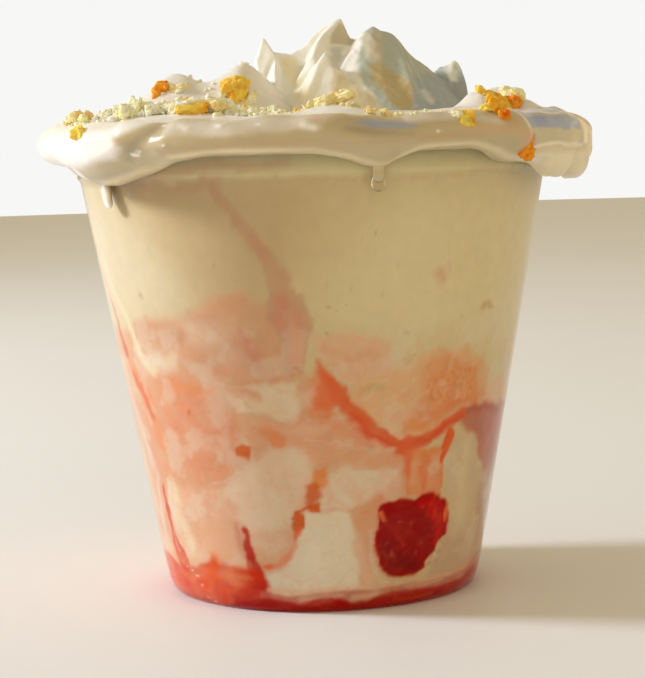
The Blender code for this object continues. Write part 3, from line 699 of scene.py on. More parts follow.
P = Pigment
WALL_STROKES: tuple[Stroke, ...] = (
    # the plain upper pudding, with painted light that makes it paler at the right and at the left, and
    # painted shade at the upper left under the drape
    area(P.LIGHT_PUDDING, 18, 0.9, (24, 78), (92, 78), (92, 46), (60, 46), (20, 51), (4, 55), (6, 62),
        (14, 72)),
    area(P.SHADED, 12, 0.6, (-56, 79), (-20, 79), (0, 79), (-4, 66), (-14, 58), (-30, 58), (-38, 66)),
    area(P.CREAM, 10, 0.4, (-92, 76), (-62, 74), (-46, 68), (-38, 60), (-42, 56), (-52, 55), (-92, 52)),
    # painted shade along the wall just under the drape
    line(P.FAINT_PINK, 0.8, 3, 0.7, (-58, 78.6), (-40, 78.2), (-22, 78.4)),
    # painted highlights on the wet film at the left
    line(P.GLINT, 0.8, 1.6, 0.5, (-62, 79), (-60, 77), (-57, 74.6), mottle=0.6, mirrored=False),
    line(P.BROWN, 0.14, 0.6, 0.7, (-63, 76.4), (-59.6, 75), (-57.4, 73.4), mirrored=False),
    line(P.GLINT, 0.12, 0.6, 0.6, (-56, 76), (-52, 76.2), (-48.6, 76.4), mirrored=False),
    # the shoulder and the wall over it, painted lighter where the drape's shade falls
    area(P.SHOULDER_LIGHT, 2.2, 1, (-46, 84.5), (92, 84.5), (92, 79.4), (-46, 79.4)),
    line(P.PINK_TAN, 0.9, 1.8, 0.5, (-46, 80), (-26, 81.4), (-6, 81.8)),
    line(P.PINK_TAN, 0.1, 0.7, 0.5, (-52, 79), (60, 79)),
    # the pink stained side
    area(P.PINK_TAN, 2.4, 1, (-92, 50), (-64, 51.5), (-56, 53.2), (-48.7, 54.3), (-36.7, 55.1),
        (-31.6, 56.8), (-27, 59), (-19, 60), (-12, 57), (-9, 50), (-6, 44), (0, 45), (3, 37), (26, 31),
        (28, 20), (18, 10), (11, 3), (-20, 3), (-92, 3), mottle=0.35),
    area(P.PINK, 2.6, 0.45, (-62, 52), (-56, 53.2), (-48, 54.2), (-40, 53.8), (-37, 51), (-42, 48.5),
        (-48, 49), (-56, 49), mottle=0.3),
    line(P.PINK, 0.6, 2.4, 0.5, (-36, 54.4), (-30, 55), (-27, 52)),
    line(P.PATCH, 0, 2.4, 0.85, (-60, 48, 0.8), (-56, 45.6, 1.6), (-50, 44.6, 1.8), (-43, 46.6, 1.4)),
    line(P.CREAM, 0, 3, 0.7, (-58, 46.4, 0.8), (-53, 45.4, 1.4), (-48, 45.2, 0.8), mottle=0.4),
    line(P.TAN, 2.2, 4, 0.6, (-34, 51.6), (-26, 50), (-22, 47), mottle=0.5),
    area(P.PINK, 4, 0.35, (-35, 49), (-27, 50), (-20, 52.4), (-15, 49), (-14, 45.4), (-24, 44), (-33, 45)),
    line(P.MAUVE, 0.9, 2, 0.95, (-20.6, 52), (-17.5, 49.6), (-16, 46.8), (-14, 44.8)),
    line(P.MAUVE, 0.7, 2, 0.6, (-22, 50), (-19, 50.8)),
    area(P.SALMON, 3.6, 0.9, (-52, 43.4), (-44, 43.8), (-36, 43.4), (-30, 42.4), (-25, 38.4), (-24, 33),
        (-22.6, 28.6), (-31, 26), (-40, 25.6), (-50, 27), (-53, 32), (-53, 38), mottle=0.5),
    line(P.ORANGE, 0, 2, 0.85, (-47, 41.4, 0.9), (-39, 41.8, 1.5), (-31, 41.6, 0.9), mottle=0.5),
    line(P.ORANGE, 0.6, 1.6, 0.6, (-46, 38.6), (-38, 37.6), mottle=0.6),
    line(P.PINK_TAN, 1.6, 3, 0.9, (-53, 35), (-50, 31), (-47, 27)),
    line(P.PINK_TAN, 0.8, 1.6, 0.9, (-30, 44.6), (-22, 44.6), (-14, 44.4)),
    line(P.MAUVE, 0.16, 0.7, 0.6, (-30, 43.2), (-22, 43), (-10, 43.6)),
    # the long pink streak from the rim
    area(P.FAINT_PINK, 0.8, 0.95, (-23, 79), (-19.6, 76), (-16.4, 72.6), (-14, 70), (-11.4, 67.4),
        (-8.6, 64.8), (-5.8, 62), (-6.2, 60.6), (-3.2, 59), (-2.2, 56.4), (-0.8, 53.6), (-2.6, 50.6),
        (-2.2, 48.8), (-4.2, 44), (-8, 44), (-9, 49.3), (-10.4, 53), (-12.4, 55), (-12, 58.6),
        (-12.6, 62.1), (-14.2, 65), (-16.4, 67.6), (-19, 70.4), (-20.6, 73.4), (-24, 77), mottle=0.2),
    line(P.MAUVE, 0, 1.6, 0.55, (-15.4, 68.6, 0.3), (-13.4, 67, 0.9), (-11.4, 64.6, 0.5)),
    line(P.MAUVE, 0, 2.2, 0.9, (-8.4, 57.4, 1.6), (-6.6, 54, 2.6), (-6, 50.6, 1.9), (-6.2, 47, 1.2),
        mottle=0.3),
    line(P.ORANGE, 0, 2, 0.6, (-5.4, 52, 0.6), (-5.4, 47, 0.9), (-6, 44.6, 0.7), mottle=0.3),
    # the left edge, red between paler strips
    area(P.SALMON, 4, 0.4, (-72, 46), (-60, 46.5), (-52, 43), (-52, 32), (-48, 26), (-34, 27), (-24, 30),
        (-22, 18), (-25, 11), (-40, 10), (-60, 10), (-66, 20), (-66, 34), mottle=0.4),
    line(P.LIGHT_PUDDING, 1, 1.6, 0.95, (-72, 66), (-66, 57), (-61, 51), (-57, 45.4), (-53, 43.6)),
    line(P.PALE_CREAM, 1, 2.6, 0.6, (-74, 40), (-70, 32), (-66, 26), mottle=0.5),
    line(P.SCARLET, 0, 0.9, 0.8, (-76, 64, 0.1), (-73, 58, 0.3), (-70, 51, 0.5), (-68, 46, 0.8)),
    line(P.ORANGE, 0, 1.4, 0.9, (-67, 45, 0.8), (-63.4, 41.6, 1.9), (-60, 38, 2.2), (-57.6, 34, 1.6),
        (-56, 30, 0.6), mottle=0.3),
    line(P.SCARLET, 0, 1.4, 0.55, (-66, 43, 0.5), (-62, 39.4, 1), (-59.6, 36, 0.8), mottle=0.5),
    # the cream patches in the middle
    area(P.PATCH, 1.6, 0.95, (-24.4, 40.4), (-18.7, 42.4), (-4.9, 42.8), (-5.2, 39), (-6.6, 35.8),
        (-16.1, 37), (-24.1, 37.9)),
    line(P.CREAM, 0.9, 2.2, 0.4, (-14, 41.8), (-9, 40.4), (-8, 37.6)),
    line(P.PINK_TAN, 0.9, 1.4, 0.9, (-23, 41), (-16.4, 40.6), mottle=0.3),
    line(P.MAUVE, 0.3, 1, 0.55, (-20.9, 41.2), (-17.4, 40.9)),
    line(P.MAUVE, 0.5, 1.2, 0.5, (-20.3, 38.9)),
    area(P.TAN, 3.2, 1, (-20.6, 28.4), (-14.8, 30.8), (-4.5, 31.2), (-1.6, 29.4), (-2.7, 27.5),
        (-4.6, 23.1), (-7, 20), (-10.6, 18.4), (-12, 12.6), (-16, 11), (-21.8, 11.7), (-27, 16.6),
        (-30, 24.2), (-24, 26)),
    line(P.PINK_TAN, 1.2, 2.6, 0.5, (-22, 14), (-17, 14.6), (-13, 15.4), mottle=0.4),
    line(P.CREAM, 1.1, 3, 0.5, (-8, 28.6), (-5, 26.4)),
    line(P.CREAM, 0.8, 2.4, 0.5, (-13, 21.4), (-10.6, 19.6), (-12, 17)),
    line(P.CREAM, 0.16, 0.8, 0.45, (-36, 24.6), (-28, 25.6), (-22, 27.6), (-16, 29.6)),
    area(P.CREAM, 1.8, 0.9, (3, 26.4), (9, 27.6), (24.7, 26.8), (24.6, 24.2), (17.2, 22), (9.7, 20),
        (0.6, 19.3), (-1, 22), mottle=0.3),
    line(P.BLUSH, 1.2, 1.6, 0.75, (4, 26.6), (7, 24.6), (9.4, 22.4), mottle=0.4),
    line(P.BLUSH, 0.8, 1.6, 0.6, (19, 26.4), (22, 25.2), mottle=0.4),
    line(P.BLUSH, 0.8, 1.4, 0.8, (1.6, 23.4), (3, 20.6), (7, 19.6), mottle=0.4),
    area(P.CREAM, 1.5, 1, (-6, 19.2), (0, 18.6), (9, 18.9), (11, 13.7), (11, 4), (-6, 3.4), (-20, 4),
        (-22.4, 6.6), (-17.6, 8.2), (-12.9, 10), (-8.6, 14.4), mottle=0.05),
    line(P.CREAM, 0.4, 1.4, 0.7, (0.4, 19.6), (3.4, 20.4), (7.6, 19.4)),
    line(P.CREAM, 0.7, 2, 0.7, (10.6, 16), (12.2, 12.6), (12.6, 8), (14.4, 5.4), mottle=0.5),
    # peach between the patches
    area(P.PEACH, 1.4, 0.75, (-24.6, 37), (-14, 36.2), (-4, 36.4), (-1, 36.2), (8, 36), (14, 34),
        (20, 31.8), (26.3, 29.6), (26.7, 26.6), (11.4, 27.8), (-2.6, 29), (-4.2, 30.8), (-11, 31.4),
        (-20, 31.6), mottle=0.35),
    line(P.BLUSH, 0.8, 1.8, 0.8, (-10, 34.6), (-4, 34.8), (2, 35.4)),
    line(P.PALE_CREAM, 0.14, 0.5, 0.55, (-3, 36.7), (7, 36.2), (16, 32.8), (21.4, 30)),
    line(P.PALE_CREAM, 0.1, 0.5, 0.4, (-4, 33.2), (6, 32.4), (14, 30.4)),
    line(P.SALMON, 0.5, 1.4, 0.6, (4, 34.8), (10, 33.4), (16, 30.6)),
    area(P.ORANGE, 0.9, 0.95, (-17.8, 33.8), (-14, 34.9), (-10.1, 33), (-10.4, 31), (-13, 30.4),
        (-15, 32), mottle=0.2),
    # the stained cake on the right
    area(P.BLUSH, 1.3, 0.95, (-1.3, 50.8), (4, 51.2), (10, 51.4), (19.6, 50.4), (20.8, 47), (20.4, 43.4),
        (12, 42), (5.8, 43.4), (1.4, 47.8)),
    line(P.PINK_TAN, 0.7, 1.8, 0.6, (2, 49), (9, 47.4), (17, 48.6), mottle=0.5),
    area(P.APRICOT, 1.8, 1, (7, 41.6), (11, 42.6), (16, 43.2), (21, 45), (25, 46.2), (32.9, 47.2),
        (44, 47.2), (53, 45.6), (60, 41.6), (73, 39), (92, 38), (92, 33), (73, 34), (58, 35), (46.5, 35),
        (39, 34), (32, 32), (26, 30.6), (18, 33.5), (11, 37.4), mottle=0.2),
    area(P.ORANGE, 2.6, 0.85, (31, 45), (36, 46), (51.3, 44), (53.4, 40), (60, 37.4), (46, 36.2),
        (38, 35), (30, 33.2), (24, 34.6), (20, 36.6), (29, 39.4), mottle=0.5),
    line(P.CORAL, 0.5, 1.6, 0.55, (30, 36.6), (42, 37.4), (56, 36.6), (62, 36.2), mottle=0.5),
    line(P.AMBER, 0.7, 1.8, 0.5, (34, 43.6), (42, 44), (50, 43), mottle=0.8),
    line(P.AMBER, 0.6, 1.6, 0.5, (24, 33.4), (31, 34.4), (36, 35.8), mottle=0.3),
    line(P.PATCH, 0.22, 0.9, 0.55, (15, 37), (21, 39.8), (28, 42.6)),
    line(P.PATCH, 0.16, 0.8, 0.5, (19, 36.2), (26, 38.8), (32, 41.4)),
    line(P.PATCH, 0.5, 1.6, 0.6, (13, 39.6), (18, 42.2)),
    line(P.BROWN, 0.6, 1.6, 0.7, (11.5, 41.2), (17.6, 41.3), mottle=0.4),
    line(P.BROWN, 0.9, 1.3, 0.75, (25, 46.2), mottle=0.5),
    # the red V above the fruit
    area(P.ORANGE, 2.2, 1, (-2.8, 38), (-2.2, 43), (0.4, 46.6), (3.2, 44.4), (4.6, 40), (3.2, 36.2),
        (-0.6, 35.8), mottle=0.2),
    area(P.CORAL, 2.4, 0.7, (-1.4, 38.4), (-1.6, 42), (0.4, 45.2), (2.6, 43), (4, 40), (3.2, 37.4),
        mottle=0.3),
    line(P.CORAL, 0, 1.5, 1, (0.8, 46.8, 0.2), (1.8, 44.2, 1), (4.4, 40.6, 1.5), (9.3, 36.8, 1.5),
        (14.3, 34.4, 1.4), (20, 31.9, 1.3), (25.3, 30.2, 1.3)),
    line(P.SCARLET, 0, 1.2, 0.5, (8, 37.2, 0.3), (14.3, 33.6, 0.5), (20, 31.2, 0.5), (25.3, 29.6, 0.5),
        mottle=0.4),
    line(P.RUST, 0, 1.4, 0.4, (3, 43.6, 0.2), (7, 39.4, 0.4), (14.3, 35.4, 0.4), (20, 32.7, 0.4),
        (25.3, 30.8, 0.5)),
    area(P.ROSE, 1.8, 0.9, (45, 35.6), (52, 36.2), (60, 36), (92, 35), (92, 24), (72, 22), (64, 22),
        (58.6, 26.6), (55, 30.4), (50, 32), (46, 33)),
    line(P.BRICK, 0, 1.6, 0.4, (44, 34.9, 0.3), (52, 35.6, 0.7), (60, 35, 0.6), (70, 34, 0.4)),
    area(P.DUSK, 3.4, 0.85, (61, 24), (66, 24), (92, 26), (92, 4), (63, 4), (62, 12), mottle=0.3),
    line(P.CORAL, 0, 0.9, 1, (25.3, 30.2, 1.4), (30.6, 31.2, 1.4), (35.7, 32.7, 1.3), (41.7, 34.2, 1.2),
        (47, 35, 0.8)),
    line(P.SCARLET, 0, 1.4, 0.5, (27, 30.6, 0.5), (33, 31.8, 0.6), (40, 33.4, 0.5), (46, 34.6, 0.4)),
    area(P.ORANGE, 1, 0.95, (26, 30), (38.5, 29.8), (40.6, 24), (40.3, 20.2), (28, 21), (26.4, 25)),
    line(P.CORAL, 0.7, 1, 0.45, (33.6, 28), (34.4, 22)),
    line(P.PEACH, 0.8, 1.6, 0.7, (30, 28), (30.6, 24.4)),
    line(P.PEACH, 0.7, 1.6, 0.5, (36.6, 26.6), (37, 22.4)),
    line(P.CORAL, 0, 1.6, 0.8, (25.6, 31, 1.4), (26.8, 29, 1), (28, 26, 0.4)),
    line(P.CORAL, 0.2, 1.2, 0.45, (27.4, 26.4), (28.6, 21.6)),
    line(P.AMBER, 0.8, 2, 0.6, (30, 29), (37, 28.6)),
    # the pale oblong beside the fruit
    area(P.OBLONG, 0.7, 1, (40.4, 27.3), (42.6, 30.3), (46.2, 31.6), (51.5, 31.4), (55.4, 29.4),
        (58.8, 25.8), (60.6, 19.2), (62.4, 13.5), (62, 7), (56, 4.2), (43.4, 4.2), (37, 4.2), (38, 7),
        (43.6, 11.6), (46.2, 15.4), (45.8, 18.8), (42.2, 23), mottle=0.1),
    line(P.LIGHT_PUDDING, 1.8, 3.6, 0.5, (49.6, 29), (51, 23), (51, 16)),
    area(P.DUSK, 3, 0.45, (40, 8), (46, 12), (62, 12), (62, 4), (38, 4)),
    line(P.DEEP_ORANGE, 0, 0.7, 1, (41.4, 31.6, 1.1), (40.1, 29.4, 1), (39.3, 27, 0.4)),
    line(P.CORAL, 0.2, 0.7, 0.8, (39.4, 27.6), (40.8, 22)),
    # the fruit
    area(P.PEACH, 2.2, 0.45, (10.4, 22.6), (14, 23), (19, 25), (25.4, 24.6), (24, 20), (19, 18),
        (18.4, 6), (12, 5), (11, 14), mottle=0.5, mirrored=False),
    line(P.SALMON, 0.8, 1.8, 0.6, (13, 17.4), (16, 19.4), (20, 22.4), (25, 23.2), mottle=0.4,
        mirrored=False),
    line(P.BLUSH, 0.9, 1.6, 0.7, (12, 12), (13.6, 8), (16, 6), mirrored=False),
    line(P.PALE_CREAM, 0.25, 0.8, 0.5, (16.4, 15), (16, 9), (19.6, 5.6), (27, 4.6), mottle=0.4,
        mirrored=False),
    area(P.CORAL, 1.2, 0.5, *berry_outline(1.04, 1.05),
        mottle=0.5, mirrored=False),
    area(P.BRICK, 0.5, 0.9, *berry_outline(1.01, 1.02),
        mirrored=False),
    area(P.BERRY, 0.5, 1, *berry_outline(0.98, 0.98),
        mottle=0.0, mirrored=False),
    line(P.BRIGHT_BERRY, 0, 2, 1, (34, 19.4, 0.8), (38.5, 18.6, 1.8), (42.6, 15.4, 1.2),
        (40.4, 11.4, 0.7), mottle=0.2, mirrored=False),
    line(P.DEEP_ORANGE, 0.5, 0.8, 1, (43.6, 17.2), (44.2, 15.4), mirrored=False),
    line(P.DARK_BERRY, 0, 2.6, 1, (22, 12, 1), (24, 9.2, 1.6), (31, 7.8, 1.4), mottle=0.3, mirrored=False),
    line(P.CORAL, 0.6, 0.8, 1, (19.6, 18.2), (20.8, 17), mirrored=False),
    line(P.CORAL, 0.5, 0.7, 1, (44, 18), (44.2, 16.2), mirrored=False),
    *(
        line(P.SEED, 0.12, 0.45, 1, (h, z), (h + lean, z + 0.5), mirrored=False)
        for h, z, lean in (
            (27.4, 11.4, 0.9), (34.6, 11.6, 0.6), (22.6, 10.2, 0.8), (32.1, 9.6, 0.6), (20.8, 12, 0.8),
            (34.0, 18.6, 0.4), (30.2, 15.6, 0.5), (38.4, 14.2, 0.4), (25.4, 16.2, 0.7),
        )
    ),
    # orange scraps and the thread that runs down from them
    area(P.RUST, 0.8, 0.9, (-25.3, 30.8), (-22.8, 32), (-21.2, 31.3), (-21.8, 29.3), (-25, 29.3)),
    area(P.AMBER, 0.9, 1, (-2.6, 27), (2.2, 27.6), (2.4, 24.2), (0.4, 23), (-2.9, 23.6), mottle=0.2),
    area(P.RUST, 0.9, 0.9, (-5, 24.5), (-1.4, 24.6), (-0.4, 21.8), (-4.3, 20.6), mottle=0.3),
    area(P.RUST, 0.8, 1, (-4.6, 21), (-0.6, 20.9), (-1.3, 18.6), (-4.2, 19), mottle=0.1),
    line(P.RUST, 0.3, 0.5, 1, (-4.2, 20), (-7.8, 19)),
    area(P.RUST, 0.5, 1, (-10.9, 18.7), (-7.8, 19.4), (-6.2, 18.6), (-7.1, 15.8), (-9.8, 15.7), mottle=0.1),
    line(P.CORAL, 0, 0.6, 1, (-8.4, 16, 0.5), (-9.4, 13.3, 0.55), (-11.6, 11.2, 0.5), (-15.5, 9.4, 0.4),
        (-20, 8.6, 0.4)),
    line(P.BLUSH, 1, 1.4, 0.5, (-10, 13), (-12.6, 10.8), (-16, 9.2)),
    # the bottom left, where the sauce has risen
    area(P.BLUSH, 3, 0.7, (-52, 23), (-40, 23.4), (-30, 24.4), (-28, 20), (-25, 15), (-22.4, 10),
        (-24, 8), (-34, 8), (-42, 9), (-53, 8), (-59, 8), (-62, 14), (-60, 22), mottle=0.5),
    line(P.PEACH, 1.2, 3.4, 0.4, (-44, 14.6), (-36, 15.2)),
    line(P.LIGHT_PUDDING, 1.6, 2.6, 0.7, (-55, 22), (-55, 16), (-52, 11)),
    # painted highlights down the left side
    line(P.PALE_CREAM, 0.4, 1.6, 0.6, (-57.6, 22.6), (-58.4, 18), (-57, 13), mottle=0.3),
    line(P.PALE_CREAM, 0.6, 1.8, 0.55, (-64, 24), (-67, 19), (-70, 13), mottle=0.5),
    line(P.PINK, 0.9, 1.8, 0.9, (-29.2, 16.4), (-28.4, 13), (-27, 11)),
    line(P.BRICK, 0, 1, 1, (-25.4, 15.6, 0.7), (-25, 12.5, 0.9), (-24.4, 10.1, 1.3), (-24.2, 6, 1.9)),
    line(P.SCARLET, 0, 0.7, 0.85, (-61.4, 22, 0.2), (-61.4, 18, 0.6), (-61.8, 14, 0.9), (-61, 11.2, 1.3),
        (-58.4, 7.6, 1.8)),
    # painted glint
    line(P.GLINT, 0.12, 0.5, 0.6, (-61.6, 13.6), (-59.4, 9.6), mirrored=False),
    line(P.ORANGE, 0.7, 1.4, 0.55, (-66, 8.6), (-54, 7.8), (-46, 9.2), (-40, 10), (-34, 9), (-26, 8.8),
        mottle=0.5),
    area(P.SCARLET, 1.7, 0.97, (-92, 9), (-76, 8.8), (-68, 8), (-63.4, 6.9), (-56, 6.6), (-50, 7.2),
        (-45, 8.6), (-41.4, 9.4), (-38.5, 8.9), (-35, 8.4), (-29.2, 8.4), (-24, 8.4), (-21.5, 7.4),
        (-19.8, 6), (-19, 4), (-20, 2), (-23, -1), (-92, -1), mottle=0.2),
    line(P.ORANGE, 0, 2.2, 0.6, (-54, 5.4, 0.8), (-44, 6.6, 1.4), (-34, 6.8, 1.2), (-28, 6.2, 0.6),
        mottle=0.8),
    line(P.DEEP_ORANGE, 0, 2.2, 0.75, (-46, 3.6, 0.9), (-42.6, 6.6, 1.6), (-41, 9, 0.7), mottle=0.4),
    line(P.ORANGE, 1, 2.2, 0.5, (-36, 7), (-32, 5.2), mottle=0.4),
    line(P.ORANGE, 0.7, 2.2, 0.45, (-62, 5.6), (-54, 4.6), mottle=0.4),
    line(P.RUST, 0.16, 0.8, 0.7, (-46, 4.6), (-38, 3.6), (-28, 3.4)),
    line(P.BRICK, 1.4, 2.4, 0.8, (-32, 2), (-26, 3.6), (-22, 4.6)),
    line(P.BRICK, 0.7, 1.6, 0.6, (-70, 1), (-56, 0.4), (-44, 0.6)),
    # painted glints on the sauce
    *(
        line(P.GLINT, 0.08, 0.35, 0.8, (h, z), (h + 1.2, z - 0.1), mirrored=False)
        for h, z in ((-57.5, 7.0), (-54.5, 6.2), (-51.8, 5.4), (-49.5, 3.9), (-46.5, 1.8), (-44.0, 1.2))
    ),
    # the sauce along the bottom
    line(P.BLUSH, 0.5, 1.1, 0.8, (-20, 4.4), (-8, 4.2), (10, 4.4), (20, 4.6), (34, 4.6), (50, 4.4),
        (66, 5.2), (92, 6.2)),
    area(P.ROSE, 1, 0.9, (-23, 3.9), (-12, 3.3), (-4, 3.9), (6, 4.1), (16, 3.9), (24, 4.3), (38, 4.2),
        (52, 4.2), (62, 5), (72, 6.4), (92, 7), (92, -1), (-23, -1), mottle=0.3),
    line(P.BLUSH, 0.4, 1.2, 0.7, (-8, 2.9), (-2, 3.1), (4, 3.2), mottle=0.5),
    line(P.BLUSH, 0.5, 1.2, 0.9, (9, 2.6), (14, 2.8), (18, 3.2), mottle=0.4),
    line(P.BLUSH, 0.3, 1, 0.7, (30, 3.8), (38, 3.7), (46, 3.9), mottle=0.5),
    area(P.BRICK, 0.9, 1, (-34, 1.6), (-20, 2.9), (-14, 2.4), (-8, 1.9), (-2, 3), (2, 3.1), (8, 1.9),
        (14, 2), (19, 2.7), (24, 3.3), (32, 3), (44, 2.8), (56, 3), (66, 4.2), (92, 5), (92, -1),
        (-36, -1), mottle=0.2),
    area(P.DARK_SAUCE, 0.9, 1, (-40, 0.6), (-30, 1.6), (-20, 2.2), (-12, 1.5), (-4, 1.5), (4, 2.3),
        (12, 1.4), (22, 2.5), (36, 2), (50, 2), (64, 3), (92, 3.4), (92, -1), (-44, -1), mottle=0.2),
    line(P.RUST, 0.2, 1, 0.6, (26, 1.6), (34, 1.2), (42, 1.6), mottle=0.6),
    line(P.MAUVE, 0.6, 1.6, 0.6, (52, 4.4), (60, 5.6), (66, 6.4), mottle=0.6),
    # specks
    *(
        line(P.SPECK, size * 0.3, 0.7, 0.5, (h, z), (h + size, z - size * 0.6), mirrored=size > 0.5)
        for h, z, size in (
            (-25, 65.2, 0.6), (-53.4, 58.2, 0.9), (25, 69.8, 0.5), (14.4, 68.6, 0.4), (8.2, 59, 0.6),
            (3.2, 56.7, 0.4), (7.9, 56.5, 0.3), (23.6, 51.5, 0.5), (16.6, 57.8, 0.3), (1.8, 51.8, 0.6),
            (-10.8, 58.5, 0.3), (-47.4, 34.3, 0.3), (41.6, 53.0, 0.3), (33.0, 39.5, 0.3), (-5.6, 45.9, 0.5),
            (2.4, 61, 0.2), (12, 60, 0.2), (20, 63, 0.2), (-30, 62, 0.2), (-44, 66, 0.2), (5, 55.6, 0.2),
            (26.2, 47.4, 0.4),
        )
    ),
    line(P.RUST, 0.4, 0.7, 0.8, (-39.1, 37.4)),
    line(P.MAUVE, 0.8, 2.2, 0.6, (31.8, 61.6), (33, 60.6)),
    line(P.DUSK, 0.5, 1.6, 0.4, (35.4, 62.4)),
    line(P.BROWN, 0.5, 1.4, 0.8, (50.4, 54.6), (52.6, 55.2), (54, 54.6)),
)


CREAM_STROKES: tuple[Stroke, ...] = (
    # painted light on the lobe at the left, and painted shade in the fold that ends it and along the lobe's
    # lower edge
    area(P.PAINTED_LIGHT_CREAM, 2, 1, (-96, 83), (-96, 93), (-38, 93), (-33, 89.6), (-35, 88.4), (-39.6, 87),
        (-38.6, 85), (-40.2, 83.4), (-48, 82.2), (-57, 81.8), (-66, 81.6), mottle=0.05),
    line(P.TOP_LIT_CREAM, 0.7, 2, 0.6, (-52, 88), (-46, 88.4), (-41, 88.8)),
    line(P.FOLD_SHADE, 0, 1.6, 0.85, (-30.4, 88.8, 0.5), (-33.4, 86.6, 0.9), (-36.4, 85, 0.8), (-38.2, 83, 0.5)),
    line(P.FOLD_SHADE, 0.5, 1.6, 0.5, (-57, 79.8), (-48, 79.8), (-40, 80.8)),
    # painted light along the top of the drape, which faces up
    area(P.TOP_LIT_CREAM, 1.4, 0.85, (-29.6, 89.4), (-29, 86.6), (-24, 86.8), (-19, 86.4), (-12, 86.6), (-4, 86.8),
        (2, 87.2), (4, 89.6), mottle=0.5),
    # painted highlights on small bumps of the drape
    line(P.HIGHLIGHT_CREAM, 0.3, 1.2, 0.7, (-25.6, 88.4), (-24.2, 87.9)),
    # painted shade: a darker band low on the drape
    line(P.LOW_DRAPE_SHADE, 0.7, 1.8, 0.8, (-30, 84), (-18, 84.9), (-4, 84.8), (6, 84.6), (22, 85.2), (34, 85.2)),
    line(P.HIGHLIGHT_CREAM, 0.5, 1.2, 0.9, (-1.4, 87.6), (0.6, 87.3)),
    line(P.PEACH, 0.3, 1.4, 0.4, (0.8, 88.7), (2.8, 88.6)),
    # painted reflection of the sky in the hollow, and painted shade in the fold under it
    line(P.STEEL_REFLECTION, 0, 1, 0.8, (9, 88, 0.3), (12, 87.8, 0.7), (16, 87.6, 0.6), (20, 87.3, 0.3)),
    line(P.FOLD_SHADE, 0.5, 1.6, 0.7, (7, 87.2), (12, 86.2), (19, 86)),
    line(P.TOP_LIT_CREAM, 0.6, 1.2, 0.8, (19, 88.4), (26, 88.4), (33, 88.2), (39, 87.6)),
    line(P.JUICE_HALO, 0.7, 1.8, 0.5, (31, 86.6), (38, 86.2), (42, 86.6)),
    # painted highlights: small bright spots
    *(
        line(P.GLINT, size, 0.5, 0.9, (h, z), (h + lean, z - 0.1), mottle=0.0)
        for h, z, lean, size in (
            (-36.6, 83.6, 0.8, 0.28), (-35.4, 84.2, 0.3, 0.16), (-28.8, 85.0, 0.3, 0.16),
            (-30.2, 88.6, 0.4, 0.16), (-18.2, 88.0, 0.8, 0.26), (-17.0, 88.5, 0.4, 0.12),
            (-10.4, 88.2, 0.6, 0.12), (24.4, 86.1, 0.2, 0.14),
            (-62, 86.4, 2.0, 0.3),
        )
    ),
    # the drip at the left, painted lighter where it hangs in shade
    line(P.HIGHLIGHT_CREAM, 1.4, 1.6, 1, (-58, 80.4), (-57, 77), (-55.6, 74.4)),
    # the orange juice that runs over the edge at the right
    line(P.JUICE_HALO, 0, 1.6, 0.5, (40.4, 89.4, 0.8), (43.2, 87.4, 0.9), (44.2, 85, 0.8)),
    line(P.HIGHLIGHT_CREAM, 0, 0.8, 0.7, (46, 89.6, 0.3), (46.6, 86.6, 0.4), (46.8, 84.8, 0.3)),
    # beyond it only a wet film lies on the rim; the sky's reflections, the highlights and the dark edge where
    # the background shows through the clear rim are painted on it
    area(P.WET_TAN, 0.4, 1, (46.8, 88.6), (48, 85.5), (49, 82.6), (52, 81.6), (60, 82.4), (66, 83),
        (96, 83), (96, 89.4), (47, 90), mottle=0.1),
    area(P.WET_GOLD, 1, 1, (50, 82.8), (60, 83), (70, 83.2), (96, 83.4), (96, 74), (46, 74), (47.6, 80.2),
        mottle=0.3),
    # painted highlight along the film's lower edge
    line(P.WET_CREAM, 0.3, 0.7, 0.9, (48.6, 82.4), (52.6, 83.2), (57, 83.5), (63, 83), (68, 83.4)),
    # painted reflections of the sky on the film
    area(P.STEEL_REFLECTION, 0.6, 0.95, (47, 88.4), (47.6, 86.2), (52, 86.2), (60, 85.9), (67.4, 86), (67.6, 88.2),
        (57, 88.6)),
    line(P.PEARL_REFLECTION, 0.4, 0.8, 0.8, (62, 86.2), (66.6, 87.4), (66.8, 88.2)),
    area(P.PEARL_REFLECTION, 0.5, 1, (46.6, 88.5), (57, 88.8), (70, 88.4), (74, 91), (46, 91), mottle=0.5),
    # painted highlights along the top, and a painted dark line between them
    line(P.HIGHLIGHT_CREAM, 0.14, 0.4, 1, (48.4, 89.4), (53, 89.3), (60, 89)),
    line(P.HIGHLIGHT_CREAM, 0.14, 0.4, 1, (61, 89.2), (66, 88.7), (69.4, 87.6)),
    line(P.FOLD_SHADE, 0.08, 0.3, 0.9, (52, 89), (58, 88.7), (64, 88.4)),
    area(P.WET_CREAM, 0.7, 0.9, (67.6, 88), (69, 85.6), (68.8, 83.6), (71.6, 83.4), (72.4, 86), (71.4, 88)),
    # painted: the dark edge where the background shows through the clear rim, then a painted highlight
    line(P.SEEN_THROUGH_BROWN, 0, 0.9, 0.85, (70, 88.6, 0.4), (74.6, 87.8, 0.9), (82, 86.6, 1.2), (94, 85.6, 0.8)),
    line(P.HIGHLIGHT_CREAM, 0.12, 0.5, 0.8, (72, 87), (76, 85.6), (84, 84.6)),
    line(P.JUICE_HALO, 1, 2, 0.9, (46.4, 84.8), (46.4, 81.6)),
    line(P.JUICE, 0.8, 1.2, 0.7, (48.2, 84.4), (48.4, 81.8)),
)


